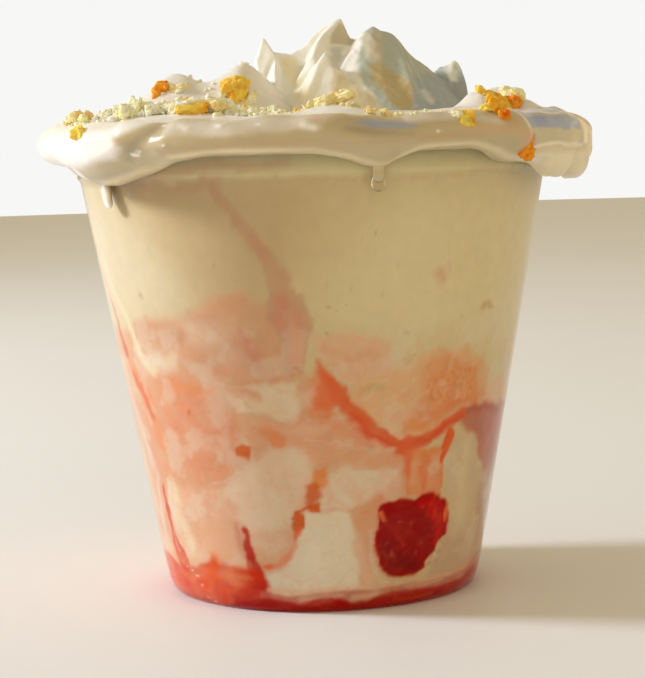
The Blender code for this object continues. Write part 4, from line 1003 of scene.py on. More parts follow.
# Painted light and shade on the whipped cream, which is one white cream
WHIP_STROKES: tuple[Stroke, ...] = (
    # painted shade on the broad side that faces right
    area(P.WHIP_SHADE, 1.4, 1, (9.8, 104.6), (11, 107), (13, 108), (17, 107), (20, 103), (24, 100),
        (32, 99), (32, 88), (11.4, 88), (11.8, 93), (10, 95.6), (9.2, 98.6), (9.2, 101.4), mottle=0.1),
    area(P.WHIP_SHADE_GREY, 2.6, 1, (19, 96.6), (24, 98), (32, 97), (32, 88), (19, 88), (17.6, 92.4), mottle=0.1),
    # painted shade in the warm hollows and on the front skirt
    area(P.WHIP_SHADE_TAN, 1.4, 1, (9.8, 104.2), (11.6, 106), (13.6, 105.4), (14, 102), (13.4, 98.8),
        (11.2, 99.6), (10.2, 102), mottle=0.2),
    area(P.WHIP_SHADE_GOLD, 1.8, 1, (11.4, 98.8), (13.4, 99.4), (16, 97.6), (18.4, 95), (19.6, 92.6),
        (19, 90.2), (15.8, 90.4), (13.6, 93.6), (12, 96.4), mottle=0.15),
    area(P.WHIP_SHADE_TAN, 0.9, 1, (5, 107.6), (7, 106.6), (8.9, 104.4), (8.6, 103), (6.2, 103.1), (4.4, 103.4),
        (4, 105.2), mottle=0.1),
    area(P.WHIP_SHADE, 1.4, 0.7, (4, 102.8), (6.6, 102.6), (6.4, 99.8), (5.4, 98.6), (4.2, 99.6)),
    area(P.WHIP_SHADE_WARM, 1.2, 1, (4.6, 99), (5.8, 98), (8, 96), (11.4, 93), (12.8, 90), (4.6, 90), (4, 95),
        mottle=0.1),
    area(P.WHIP_SHADE_HONEY, 1.4, 1, (-5.6, 101), (-3, 101.2), (-2, 99), (-3.4, 97.2), (-5, 98), mottle=0.2),
    line(P.WHIP_SHADE_HONEY, 1.5, 2.4, 0.7, (-2.6, 97.4), (-1.4, 94.6), (0.2, 92.4)),
    # painted highlights on the lit crest and the streaks, and painted light on the small peak at the right
    line(P.WHIP_HIGHLIGHT, 0.9, 0.8, 0.9, (9, 103.4), (8.2, 101.4), (7.4, 99.6)),
    line(P.WHIP_HIGHLIGHT, 0.6, 1.2, 0.5, (21, 93.8), (22.6, 91.8)),
    area(P.WHIP, 0.9, 0.9, (25.8, 99), (27.6, 99.8), (28.6, 98.4), (28.4, 96), (26.8, 96.2)),
)


@dataclass(frozen=True)
class CupShape:
    """The cup's own sizes, outside unless they say otherwise, and what they give at a height."""

    height: float = 87.0
    rim_radius: float = 49.0
    roll_width: float = 3.9
    roll_height: float = 3.5
    wall: float = 0.55
    ring_height: float = 4.3
    ring_radius: float = 30.4
    step_height: float = 79.0
    step_radius: float = 44.25
    step_out: float = 0.65
    foot_outer: float = 28.4
    foot_inner: float = 26.2
    punt: float = 2.3
    sauce_depth: float = 4.9
    sauce_rise: float = 3.6
    sauce_rise_heading: float = -50.0
    sauce_rise_spread: float = 26.0
    layer_top: float = 84.2

    def room_radius(self, height: Array | float) -> Array:
        """Inside radius of the cup.

        Args:
            height: Heights over the resting plane.

        Returns:
            The radius at each.
        """
        floor = 0.7
        drop = np.clip((self.ring_height - np.asarray(height)) / (self.ring_height - floor), 0.0, 1.0)
        foot = self.ring_radius + (self.foot_outer - self.ring_radius) * drop**1.6
        above = np.interp(
            height,
            [self.ring_height, self.step_height, self.step_height + self.step_out],
            [self.ring_radius, self.step_radius, self.step_radius + self.step_out],
        )
        return np.where(drop > 0.0, foot, above) - self.wall

    def sauce_top(self, heading: Array) -> Array:
        """Height of the sauce's top at the wall.

        Args:
            heading: Headings in degrees.

        Returns:
            The height at each.
        """
        rise = self.sauce_rise * bell(turned_by(heading, self.sauce_rise_heading), self.sauce_rise_spread)
        ripple = 0.35 * np.sin(np.radians(5.0 * heading)) + 0.25 * np.cos(np.radians(3.0 * heading))
        return self.sauce_depth + rise + ripple

    def profile(self) -> list[Point]:
        """Radius and height from under the middle, up the outside, over the rim and down the inside."""
        foot, ring, level = self.foot_inner, self.ring_radius, self.ring_height
        under = [
            (0.0, self.punt), (foot - 2.4, self.punt), (foot - 1.4, self.punt - 0.4), (foot - 0.6, 0.5),
            (foot - 0.2, 0.1), (foot + 0.3, 0.0), (self.foot_outer - 0.3, 0.0), (self.foot_outer + 0.3, 0.2),
            (self.foot_outer + 1.1, 1.1), (ring - 0.25, level - 1.4), (ring - 0.15, level - 0.6),
            (ring - 0.05, level - 0.2), (ring + 0.12, level + 0.2),
        ]
        step, out = self.step_height, self.step_radius + self.step_out
        shoulder = [
            (self.step_radius - 0.1, step - 0.6), (self.step_radius + 0.08, step),
            (out - 0.1, step + self.step_out - 0.15), (out, step + self.step_out + 0.25),
            (out, self.height - self.roll_height - 0.2),
        ]
        across, up = self.roll_width / 2.0, self.roll_height / 2.0
        middle_r, middle_z = self.rim_radius - across, self.height - up
        roll = [
            (middle_r + across * math.cos(turn), middle_z + up * math.sin(turn))
            for turn in map(math.radians, range(-105, 151, 15))
        ]
        inside = [
            (float(self.room_radius(level)), level)
            for level in (middle_z, step + self.step_out, step, step - 20.0, self.ring_height)
        ]
        floor = [
            (ring - 1.3, 1.8), (self.foot_outer - 0.4, 0.7), (foot + 0.2, 0.7),
            (foot - 1.4, self.punt + self.wall), (0.0, self.punt + self.wall),
        ]
        return under + shoulder + roll + inside + floor


@dataclass
class ClearCup:
    """The clear cup itself."""

    shape: CupShape
    segments: int = 256
    finish: ClearFinish = ClearFinish("clear_plastic", ior=1.32, roughness=0.05, ripple=0.05, sheen=0.35)

    def build(self) -> None:
        """Spins the cup's profile about its axis."""
        bm = bmesh.new()
        verts = [bm.verts.new((0.0, -radius, height)) for radius, height in self.shape.profile()]
        edges = [bm.edges.new(pair) for pair in zip(verts, verts[1:])]
        bmesh.ops.spin(
            bm, geom=verts + edges, cent=(0, 0, 0), axis=(0, 0, 1), angle=math.tau, steps=self.segments,
            use_merge=True,
        )
        close_shell(bm)
        add_piece("clear_cup", bm, self.finish.build(), ["cup"])


@dataclass
class Painting:
    """Colours the places round the cup by the strokes that lie over them."""

    strokes: Sequence[Stroke] = WALL_STROKES
    base: Pigment = Pigment.PUDDING
    # The edges of strokes wander by this much, in fine and in wide waves
    ragged: float = 0.42
    ragged_size: float = 1.6
    drift: float = 0.8
    drift_size: float = 6.0
    mottle_size: float = 2.6
    # How far past its points, in degrees, a stroke can still be seen
    margin: float = 12.0
    speck_count: int = 90
    seed: int = 11
    # Laid on along Y in place of round the axis: its points are then X and height in mm
    flat: bool = False
    # Painted shade, darker about a heading where the key lamp shines more strongly: heading, spread, and by
    # how much; below zero it paints light
    painted_shade: Point = (-72.0, 38.0, 0.235)
    # How far that painted shade goes in red, green and blue
    painted_shade_tint: Point = (1.0, 1.11, 1.2)
    # How much shows of the fine red veins and pale clouds in the stained part
    veins: float = 0.0

    def all_strokes(self) -> list[Stroke]:
        """The strokes of the front, those of the back, and small specks all round."""
        draw = np.random.default_rng(self.seed)
        lowest, highest = (-180.0, 8.0, 0.05, 0.1), (180.0, 77.0, 0.16, 0.3)
        specks = [
            line(P.SPECK, width, 0.6, strength, (heading, height), mirrored=False)
            for heading, height, width, strength in draw.uniform(lowest, highest, (self.speck_count, 4))
        ]
        backs = [stroke.at_the_back() for stroke in self.strokes if stroke.mirrored and not self.flat]
        return backs + list(self.strokes) + specks

    def colours(self, places: Array) -> Array:
        """The linear colour of each place.

        Args:
            places: Points at or near the wall.

        Returns:
            One colour for each point.
        """
        radius = np.hypot(places[:, 0], places[:, 1])
        wide = [ripples(places, self.drift_size, 2, seed) * self.drift for seed in (3, 4)]
        fine = [ripples(places, self.ragged_size, 3, seed) * self.ragged for seed in (5, 6)]
        heading = headings_of(places)
        # painted shade: the colours are darkened about the painted shade's heading
        depth = self.painted_shade[2] * bell(turned_by(heading, self.painted_shade[0]), self.painted_shade[1])
        if self.flat:
            heading, radius = places[:, 0], np.full(len(places), math.degrees(1.0))
        heading = heading + np.degrees((wide[0] + fine[0]) / np.maximum(radius, 12.0))
        height = places[:, 2] + (wide[1] + fine[1]) * np.clip(places[:, 2] / 12.0, 0.25, 1.0)
        uneven = 0.5 + 0.5 * ripples(places, self.mottle_size, 3, 9)
        radius = np.maximum(radius, 20.0)
        colours = np.tile(own_colour(self.base.value), (len(places), 1))
        for stroke in self.all_strokes():
            turns = [point[0] for point in stroke.path]
            middle = (min(turns) + max(turns)) / 2.0
            reach = (max(turns) - min(turns)) / 2.0 + self.margin
            near = np.abs(turned_by(heading, middle)) < reach
            cover = stroke.cover(heading[near], height[near], radius[near])
            cover *= 1.0 - stroke.mottle * np.clip(uneven[near], 0.0, 1.0)
            colours[near] += (own_colour(stroke.pigment.value) - colours[near]) * cover[:, None]
        if self.veins:
            self.add_veins(colours, places, height, uneven)
        return colours * (1.0 - depth[:, None] * np.array(self.painted_shade_tint))

    def add_veins(self, colours: Array, places: Array, height: Array, uneven: Array) -> None:
        """Adds fine red veins and soft pale clouds where the pudding is stained.

        Args:
            colours: The colours, which are changed.
            places: Their places.
            height: Their heights, with the waves that the strokes' edges follow.
            uneven: How strongly a mottled stroke covers each.
        """
        vein_top, cloud_top, cloud_foot, fade = 54.0, 58.0, 5.0, 8.0
        thin = np.maximum(bell(ripples(places, 5.0, 3, 13), 0.05), bell(ripples(places, 3.0, 3, 14), 0.05))
        thin *= self.veins * smooth_step((vein_top - height) / fade) * np.clip(uneven, 0.2, 1.0)
        stain(colours, P.CORAL, thin)
        pale = smooth_step(1.6 * ripples(places, 4.5, 4, 15)) * smooth_step((colours[:, 1] - 0.3) / 0.15)
        pale *= 1.6 * self.veins * smooth_step((cloud_top - height) / fade)
        pale *= smooth_step((height - cloud_foot) / 5.0)
        stain(colours, P.CREAM, pale)


@dataclass
class CupContents:
    """What fills the cup: the pudding, the sauce under it, and the fruit and cake against the wall."""

    shape: CupShape
    painting: Painting = field(default_factory=lambda: Painting(veins=0.22))
    columns: int = 480
    # The share of the columns that lie on the front half
    front_share: float = 0.73
    wall_rows: int = 196
    cap_rows: int = 6
    # Below this height lies this share of the pudding's rows
    fine_height: float = 58.0
    fine_share: float = 0.86
    sauce_base_rows: int = 12
    sauce_wall_rows: int = 28
    into_wall: float = 0.15
    # Heading and height, then sizes along the wall, into the cup and upwards
    berry: Point = (31.5, 13.2, 14.6, 9.5, 14.2)
    soaked_cake: Point = (41.0, 40.6, 13.0, 7.0, 7.6)
    # How far the middle of such a block lies inside the wall, as a share of its depth
    sunk: float = 0.22

    def build(self) -> None:
        """Makes the four pieces."""
        pudding = PaintedFood("pudding", 0.5, gloss=0.0, grain=0.025, grain_size=2.4, relief=0.01).build()
        wet = PaintedFood("strawberry_sauce", 0.3, gloss=0.0, grain=0.04, grain_size=1.1).build()
        fruit = PaintedFood("strawberry", 0.3, gloss=0.1, grain=0.2, grain_size=1.0, relief=0.2).build()
        cake = PaintedFood("soaked_cake", 0.5, gloss=0.0, grain=0.12, grain_size=1.0, relief=0.15).build()
        pudding_rows = self.wall_rows + 2 * self.cap_rows
        sauce_rows = self.sauce_base_rows + self.sauce_wall_rows + self.cap_rows
        self.add_turned("pudding_fill", self.pudding_places, pudding_rows, pudding, "pudding")
        self.add_turned("sauce_pool", self.sauce_places, sauce_rows, wet, "strawberry_sauce")
        self.add_bedded("strawberry_chunk", self.berry, 0.2, fruit, "strawberry_piece")
        self.add_bedded("soaked_cake_chunk", self.soaked_cake, 0.18, cake, "soaked_cake_piece")

    def pudding_places(self, row: Array, heading: Array) -> Array:
        """Places on the pudding's skin, from the middle of its underside to the middle of its top.

        Args:
            row: Each place's row.
            heading: Each place's heading.

        Returns:
            The places.
        """
        low, high = self.cap_rows, self.cap_rows + self.wall_rows
        foot = self.shape.sauce_top(heading) - 0.1
        bend = low + self.fine_share * self.wall_rows
        below = foot + (self.fine_height - foot) * (row - low) / (bend - low)
        above = np.interp(row, [bend, high], [self.fine_height, self.shape.layer_top])
        height = np.where(row < bend, below, above)
        height = np.where(row < low, foot, np.minimum(height, self.shape.layer_top))
        radius = self.shape.room_radius(height) + self.into_wall
        radius = np.where(row < low, radius * row / low, radius)
        radius = np.where(row > high, radius * (high + self.cap_rows - row) / self.cap_rows, radius)
        return ring_points(heading, radius, height)

    def sauce_places(self, row: Array, heading: Array) -> Array:
        """Places on the sauce's skin, from the middle of its underside to the middle of its top.

        Args:
            row: Each place's row.
            heading: Each place's heading.

        Returns:
            The places.
        """
        shape = self.shape
        first, last = self.sauce_base_rows, self.sauce_base_rows + self.sauce_wall_rows
        floor, low = shape.punt + shape.wall - 0.1, 0.15
        base_rows = [0, 4, 8, 11]
        radii = [0.0, shape.foot_inner - 1.5, shape.foot_inner + 0.1, shape.foot_outer - 0.2]
        levels = [floor, floor, low, low]
        top = shape.sauce_top(heading)
        share = np.clip((row - first) / self.sauce_wall_rows, 0.0, 1.0)
        height = low + (top - low) * share
        foot = np.interp(height, [low, 0.4, 1.1, 2.9, shape.ring_height], [28.25, 28.6, 29.25, 29.85, 29.95])
        above = shape.room_radius(height) + self.into_wall - 0.04
        radius = np.where(height < shape.ring_height, foot, above)
        radius = np.where(row < first, np.interp(row, base_rows, radii), radius)
        height = np.where(row < first, np.interp(row, base_rows, levels), height)
        radius = np.where(row > last, radius * (last + self.cap_rows - row) / self.cap_rows, radius)
        return ring_points(heading, radius, height)

    def add_turned(
        self, name: str, places: Callable[[Array, Array], Array], rows: int, material: bpy.types.Material,
        node: str,
    ) -> None:
        """Makes a piece that goes all round, and paints it.

        Args:
            name: The piece's name.
            places: The function that gives a place from its row and heading.
            rows: How many rows of faces it has.
            material: Its finish.
            node: The solid it stands for, whose slot has the same name.
        """
        bm, row, heading = turned_grid(rows, self.columns)
        move_vertices(bm, places(row, denser_front(heading, self.front_share)))
        close_shell(bm)
        colours = self.painting.colours(read_places(bm))
        add_piece(name, bm, material, [node], colours)

    def add_bedded(
        self, name: str, block: Point, into_wall: float, material: bpy.types.Material, node: str
    ) -> None:
        """Makes a piece that is pressed flat against the wall.

        Args:
            name: The piece's name.
            block: Its heading and height, then its sizes along the wall, into the cup and upwards.
            into_wall: How far it reaches into the wall.
            material: Its finish.
            node: The solid it stands for.
        """
        heading, height, *sizes = block
        inwards = float(self.shape.room_radius(height)) - self.sunk * sizes[1]
        matrix = turned_to(heading, inwards, height) @ Matrix.Diagonal((*sizes, 1.0))
        bm = torn_lumps([matrix], fineness=6, squareness=0.3, crag=0.08, seed=int(heading))
        places = read_places(bm)
        radius = np.hypot(places[:, 0], places[:, 1])
        limit = self.shape.room_radius(places[:, 2]) + into_wall
        places[:, :2] *= (np.minimum(radius, limit) / radius)[:, None]
        move_vertices(bm, places)
        close_shell(bm)
        add_piece(name, bm, material, [node], self.painting.colours(read_places(bm)))


# ---------------------------------------------------------------- cream


@dataclass(frozen=True)
class Bead:
    """A bead that hangs against the cup's wall and is wider towards its foot."""

    heading: float
    radius: float
    top: float
    bottom: float
    thickness: float
    # How far its foot is moved along the wall
    shift: float = 0.0
    # Its depth as a share of its width, its width at the top, and what that gains by the foot
    flatness: float = 0.36
    neck: float = 0.72
    swell: float = 0.36
    # How far it stays off the wall
    gap: float = 0.05

    def add_to(self, bm: bmesh.types.BMesh, shape: CupShape) -> None:
        """Adds the bead to a bmesh.

        Args:
            bm: The bmesh.
            shape: The cup's sizes.
        """
        made = bmesh.ops.create_icosphere(bm, subdivisions=4, radius=0.5)["verts"]
        matrix = turned_to(self.heading, self.radius, (self.top + self.bottom) / 2.0)
        for vert in made:
            low = 0.5 - vert.co.z
            width = (self.neck + self.swell * low) * self.thickness
            along = vert.co.x * width + self.shift * low
            outwards = vert.co.y * width * self.flatness
            vert.co = matrix @ Vector((along, outwards, vert.co.z * (self.top - self.bottom)))
            reach = math.hypot(vert.co.x, vert.co.y)
            least = float(shape.room_radius(vert.co.z)) + shape.wall + self.gap
            if reach < least:
                vert.co.x *= least / reach
                vert.co.y *= least / reach


@dataclass
class CreamLayer:
    """The cream that is heaped on the pudding and runs over the rim."""

    shape: CupShape
    edge_top: float = 89.1
    crown: float = 1.2
    roll_z: float = 85.6
    roll_r: float = 47.6
    overhang: float = 52.3
    lip: float = 83.3
    columns: int = 480
    under_rows: int = 22
    roll_rows: int = 74
    top_rows: int = 100
    # The share of the columns that lie on the front half
    front_share: float = 0.68
    # The roll over the rim ends this many degrees above its middle, and its top settles over this many rows
    roll_end: float = 75.0
    ease_rows: float = 9.0
    # How far above the middle of the roll its lower bead lies in degrees, its spread and its height
    bead: Point = (-66.0, 9.0, 0.3)
    # Each heap: x, y, height, spread
    heaps: tuple[Point, ...] = (
        (-38, -1, 1.8, 7), (-25.2, -11.4, 6.2, 4.9), (-12.6, -13.4, 6.8, 3.6), (-8.6, -8, 5, 4),
        (-20, -5, 1.8, 9), (-23, -23, 2.4, 8), (-34, -27, 1, 5), (36, -13.5, 2.8, 4.2), (33, -15.5, 2, 3),
        (29, -24.8, 2.9, 1.7), (30.8, -27, 1.6, 1.2), (40, -20, 1.2, 2.2), (-43, -17, 1.1, 4.5),
        (9, 30, 3.4, 9), (-20, 26, 3.8, 9), (31, 22, 3.2, 8), (4.5, -40, 1.9, 4.4), (28, -30, 0.8, 7),
    )
    # The lower edge: heading and height
    edge: tuple[Point, ...] = (
        (-180, 81), (-165, 80.4), (-150, 79), (-138, 80.2), (-126, 82.2), (-112, 80.8), (-100, 82.5),
        (-90, 82.2), (-80, 82.2), (-72, 81.8), (-66, 80.9), (-63, 80), (-58, 78.9), (-54, 78.3),
        (-48, 78.4), (-43.5, 79.1), (-36, 80.7), (-29, 82.3), (-22, 83), (-16, 83.3), (0, 83),
        (7.4, 81.9), (10.3, 81), (12.3, 80.5), (14.5, 80.1), (16.4, 80.7), (18.4, 82.1), (21.6, 83.1),
        (33, 83.5), (41, 81.8), (45, 80.8), (48.7, 80.4), (52.4, 80.6), (56, 80.2), (58.6, 78.4),
        (61, 77.5), (63.4, 77.6), (65.2, 78.8), (66.6, 80), (68, 78.4), (71, 77.2), (75, 76.9),
        (79, 77.6), (82, 79.4), (84, 79.6), (88, 80.4), (94, 82), (104, 80.6), (116, 82.6), (128, 80.6),
        (139, 79), (150, 80.6), (162, 82.4), (172, 81.4), (180, 81),
    )
    # Where the roll is thicker: heading, spread, by how much
    bulges: tuple[Point, ...] = (
        (86, 30, 1.3), (-43, 8.5, 1.25), (-90, 24, -0.1), (0, 30, -0.6), (180, 40, -0.6),
    )
    # Heading, height, spread along the rim and upwards, depth: below zero is a dent
    dents: tuple[Point, ...] = (
        (-44, 85, 6.5, 2.4, 0.6), (-30.6, 88.2, 2.2, 1, -0.6), (-33, 86.4, 2.2, 1.1, -0.8),
        (-35.4, 84.6, 2.2, 1.2, -0.7), (-37.4, 82.6, 2.4, 1.2, -0.5), (-40, 88.6, 3, 0.7, 0.35),
        (-29, 86, 3, 1.2, 0.35), (-36.2, 83.7, 0.8, 0.5, 0.35), (-28.7, 85, 0.6, 0.4, 0.25),
        (-17.8, 88, 1, 0.5, 0.3), (-14, 86.4, 7, 1, 0.3), (-0.6, 87.7, 1.6, 0.8, 0.5),
        (3.6, 88.8, 2.4, 0.9, 0.4), (11.5, 87.6, 3.6, 1.1, -0.7), (24, 85.8, 6, 1.2, -0.25),
        (34, 87.4, 4, 1, 0.4), (44.6, 83.4, 3.4, 2.2, 0.6), (49.6, 85.6, 1.6, 3, -0.7),
        (58, 86.4, 7, 1, -0.35), (57, 83.2, 6, 0.7, 0.35), (61.6, 79.4, 2, 1.4, 0.7),
        (66.6, 80.4, 1, 1.8, -0.9), (73, 79.4, 4, 1.8, 0.7), (78.6, 80.6, 1.2, 1.4, -0.5),
        (84, 81.4, 3.4, 1.6, 0.5), (110, 86, 8, 1.4, 0.5), (150, 85, 9, 1.4, -0.5),
        (-120, 85.6, 9, 1.4, 0.5),
    )
    # Where the cream hangs free, away from the wall: heading and spread
    free: Point = (72.0, 13.0)
    drips: tuple[Bead, ...] = (
        Bead(14.2, 46.3, 82.4, 77.6, 2.3), Bead(-56.6, 44.9, 80.6, 74.2, 3.6, shift=1.6),
    )
    # Its painted shade is below zero: painted light, a little lighter towards the front
    painting: Painting = field(
        default_factory=lambda: Painting(
            CREAM_STROKES, Pigment.DRAPE, ragged=0.12, drift=0.3, speck_count=0, painted_shade=(0, 60, -0.1),
            painted_shade_tint=(1, 1, 1),
        )
    )

    def edge_height(self, heading: Array) -> Array:
        """Height of the lower edge, with its corners rounded.

        Args:
            heading: Headings in degrees.

        Returns:
            The height at each.
        """
        turns, levels = zip(*self.edge)
        steps = (-1.1, -0.4, 0.4, 1.1)
        return sum(np.interp(turned_by(heading + step, 0.0), turns, levels) for step in steps) / len(steps)

    def height(self, x: Array, y: Array) -> Array:
        """Height of the cream's upper face.

        Args:
            x: Places along X.
            y: Places along Y.

        Returns:
            One height for each place.
        """
        reach = np.hypot(x, y) / self.shape.rim_radius
        level = self.edge_top + self.crown * (1.0 - np.minimum(reach, 1.0) ** 2)
        within = smooth_step((1.02 - reach) / 0.12)
        for heap_x, heap_y, rise, spread in self.heaps:
            level = level + rise * bell(np.hypot(x - heap_x, y - heap_y), spread) * within
        flat = np.column_stack([x, y, np.zeros(len(x))])
        return level + 0.35 * ripples(flat, 7.0, 3, 21)

    def places(self, row: Array, heading: Array) -> tuple[Array, Array]:
        """Places on the cream's skin, from under its middle round the rim to the middle of its top.

        Args:
            row: Each place's row.
            heading: Each place's heading.

        Returns:
            The places, and the turn about the middle of the roll for those on it.
        """
        shape = self.shape
        lip = self.edge_height(heading) + 0.06 * np.sin(np.radians(31.0 * heading))
        thicker = (more * bell(turned_by(heading, at), spread) for at, spread, more in self.bulges)
        out = self.overhang + sum(thicker)
        hangs_free = bell(turned_by(heading, self.free[0]), self.free[1])
        lean = smooth_step((self.lip - lip) / 2.4) * (1.0 - hangs_free)
        rim, top, under_roll = shape.rim_radius, shape.height, shape.height - shape.roll_height
        shoulder = shape.step_radius + shape.step_out
        tuck = rim - 0.6 + (shoulder + 0.3 - rim + 0.6) * lean
        inside = shoulder - shape.wall + 0.15
        corner = under_roll - 0.3
        first, last = self.under_rows, self.under_rows + self.roll_rows
        # Row, radius and height along the pudding's top, up the wall and round the cup's rim
        groove = (
            (0, 0.0, shape.layer_top), (4, inside, shape.layer_top), (8, inside, top - 1.6),
            (10, inside + 0.7, top - 0.1), (12, rim - 2.6, top + 0.35), (14, rim - 0.5, top - 0.1),
            (16, rim + 0.35, top - 1.6), (18, rim + 0.2, under_roll + 0.6),
            (19, rim - 0.45, under_roll - 0.2),
        )
        steps, groove_r, groove_z = zip(*groove)
        radius = np.interp(row, steps, groove_r)
        height = np.interp(row, steps, groove_z)
        tucked = (row > steps[-1]) & (row < first)
        radius = np.where(tucked, tuck, radius)
        tucked_z = np.where(row < first - 1, corner, np.minimum(corner - 0.15, lip + 0.5))
        height = np.where(tucked, tucked_z, height)
        turn = np.interp(row, [first, last], [-90.0, self.roll_end])
        angle = np.radians(turn)
        edge_spot = ring_points(heading, 47.0, 0.0)
        edge = self.height(edge_spot[:, 0], edge_spot[:, 1])
        below = turn < 0.0
        half = np.where(below, self.roll_z - lip, edge - self.roll_z)
        fallen = np.where(below, -np.sin(angle), 0.0)
        middle = self.roll_r + (tuck + 0.35 - self.roll_r) * fallen**1.5
        bead = self.bead[2] * bell(turn - self.bead[0], self.bead[1])
        on_roll = (row >= first) & (row <= last)
        radius = np.where(on_roll, middle + (out - self.roll_r + bead) * np.cos(angle), radius)
        height = np.where(on_roll, self.roll_z + half * np.sin(angle), height)
        end = math.radians(self.roll_end)
        top_share = np.clip((row - last) / self.top_rows, 0.0, 1.0)
        top_r = (self.roll_r + (out - self.roll_r) * math.cos(end)) * (1.0 - top_share)
        spots = ring_points(heading, top_r, 0.0)
        level = self.height(spots[:, 0], spots[:, 1])
        ease = smooth_step(top_share * self.top_rows / self.ease_rows)
        start_z = self.roll_z + (edge - self.roll_z) * math.sin(end)
        on_top = row > last
        radius = np.where(on_top, top_r, radius)
        height = np.where(on_top, start_z + (level - start_z) * ease, height)
        return ring_points(heading, radius, height), turn

    def build(self) -> None:
        """Makes the layer and the drips under it."""
        finish = PaintedFood(
            "cream", 0.36, grain=0.02, grain_size=2.2, coat=0.35, glow=0.18, glow_reach=(1.6, 1.1, 0.6),
            relief=0.03,
        ).build()
        rows = self.under_rows + self.roll_rows + self.top_rows
        bm, row, heading = turned_grid(rows, self.columns)
        heading = denser_front(heading, self.front_share)
        places, turn = self.places(row, heading)
        move_vertices(bm, self.modelled(places, turn, row, heading))
        close_shell(bm)
        add_piece("cream_top", bm, finish, ["cream_layer"], self.colours(read_places(bm)))
        self.add_drips(finish)

    def modelled(self, places: Array, turn: Array, row: Array, heading: Array) -> Array:
        """Adds dents, folds and fine unevenness to the outer face.

        Args:
            places: The smooth places.
            turn: Their turns about the middle of the roll.
            row: Their rows.
            heading: Their headings.

        Returns:
            The modelled places.
        """
        first, last = self.under_rows, self.under_rows + self.roll_rows
        angle = np.radians(np.where(row > last, 90.0, turn))
        outwards = np.column_stack([ring_points(heading, np.cos(angle), 0.0)[:, :2], np.sin(angle)])
        depth = 0.28 * ripples(places, 9.0, 2, 31) + 0.10 * ripples(places, 2.6, 2, 32)
        for at, level, along, up, amount in self.dents:
            spread = np.hypot(turned_by(heading, at) / along, (places[:, 2] - level) / up)
            depth += amount * bell(spread, 1.0)
        shown = smooth_step((row - first - 2) / 8.0)
        moved = places + outwards * (depth * shown)[:, None]
        limit = self.overhang + 1.15
        reach = np.hypot(moved[:, 0], moved[:, 1])
        moved[:, :2] *= (np.minimum(reach, limit) / np.maximum(reach, 1e-6))[:, None]
        return moved

    def colours(self, places: Array) -> Array:
        """Colours the cream, with painted light along its lower edge and on its top.

        Args:
            places: Points on it.

        Returns:
            One linear colour for each point.
        """
        colours = self.painting.colours(places)
        heading, reach, height = headings_of(places), np.hypot(places[:, 0], places[:, 1]), places[:, 2]
        uneven = ripples(places, 5.0, 3, 41)
        above = height - self.edge_height(heading)
        drape = smooth_step((54.0 - np.abs(turned_by(heading, 0.0))) / 8.0)
        low = smooth_step((82.6 - height) / 1.2) * (1.0 - drape) * (heading > 0)
        top = smooth_step((47.4 - reach) / 1.4) * smooth_step((height - 88.0) / 0.8)
        # painted light: a pale rim along the lower edge of the drape
        stain(colours, P.RIM_LIGHT_CREAM, 0.75 * bell(above - 0.5, 0.35) * drape)
        stain(colours, P.WET_CREAM, low * (0.6 + 0.2 * uneven))
        # painted light: the top, which faces up, made paler
        stain(colours, P.TOP_LIT_CREAM, top)
        stain(colours, P.PAINTED_LIGHT_CREAM, top * (0.75 + 0.3 * uneven))
        return colours

    def add_drips(self, material: bpy.types.Material) -> None:
        """Makes the drips that hang from the lower edge.

        Args:
            material: The cream's finish.
        """
        bm = bmesh.new()
        for drip in self.drips:
            drip.add_to(bm, self.shape)
        places = read_places(bm)
        places += ripples(places, 2.4, 2, 51)[:, None] * 0.12
        move_vertices(bm, places)
        bmesh.ops.recalc_face_normals(bm, faces=bm.faces)
        add_piece("cream_drips", bm, material, ["cream_layer"], self.colours(places))


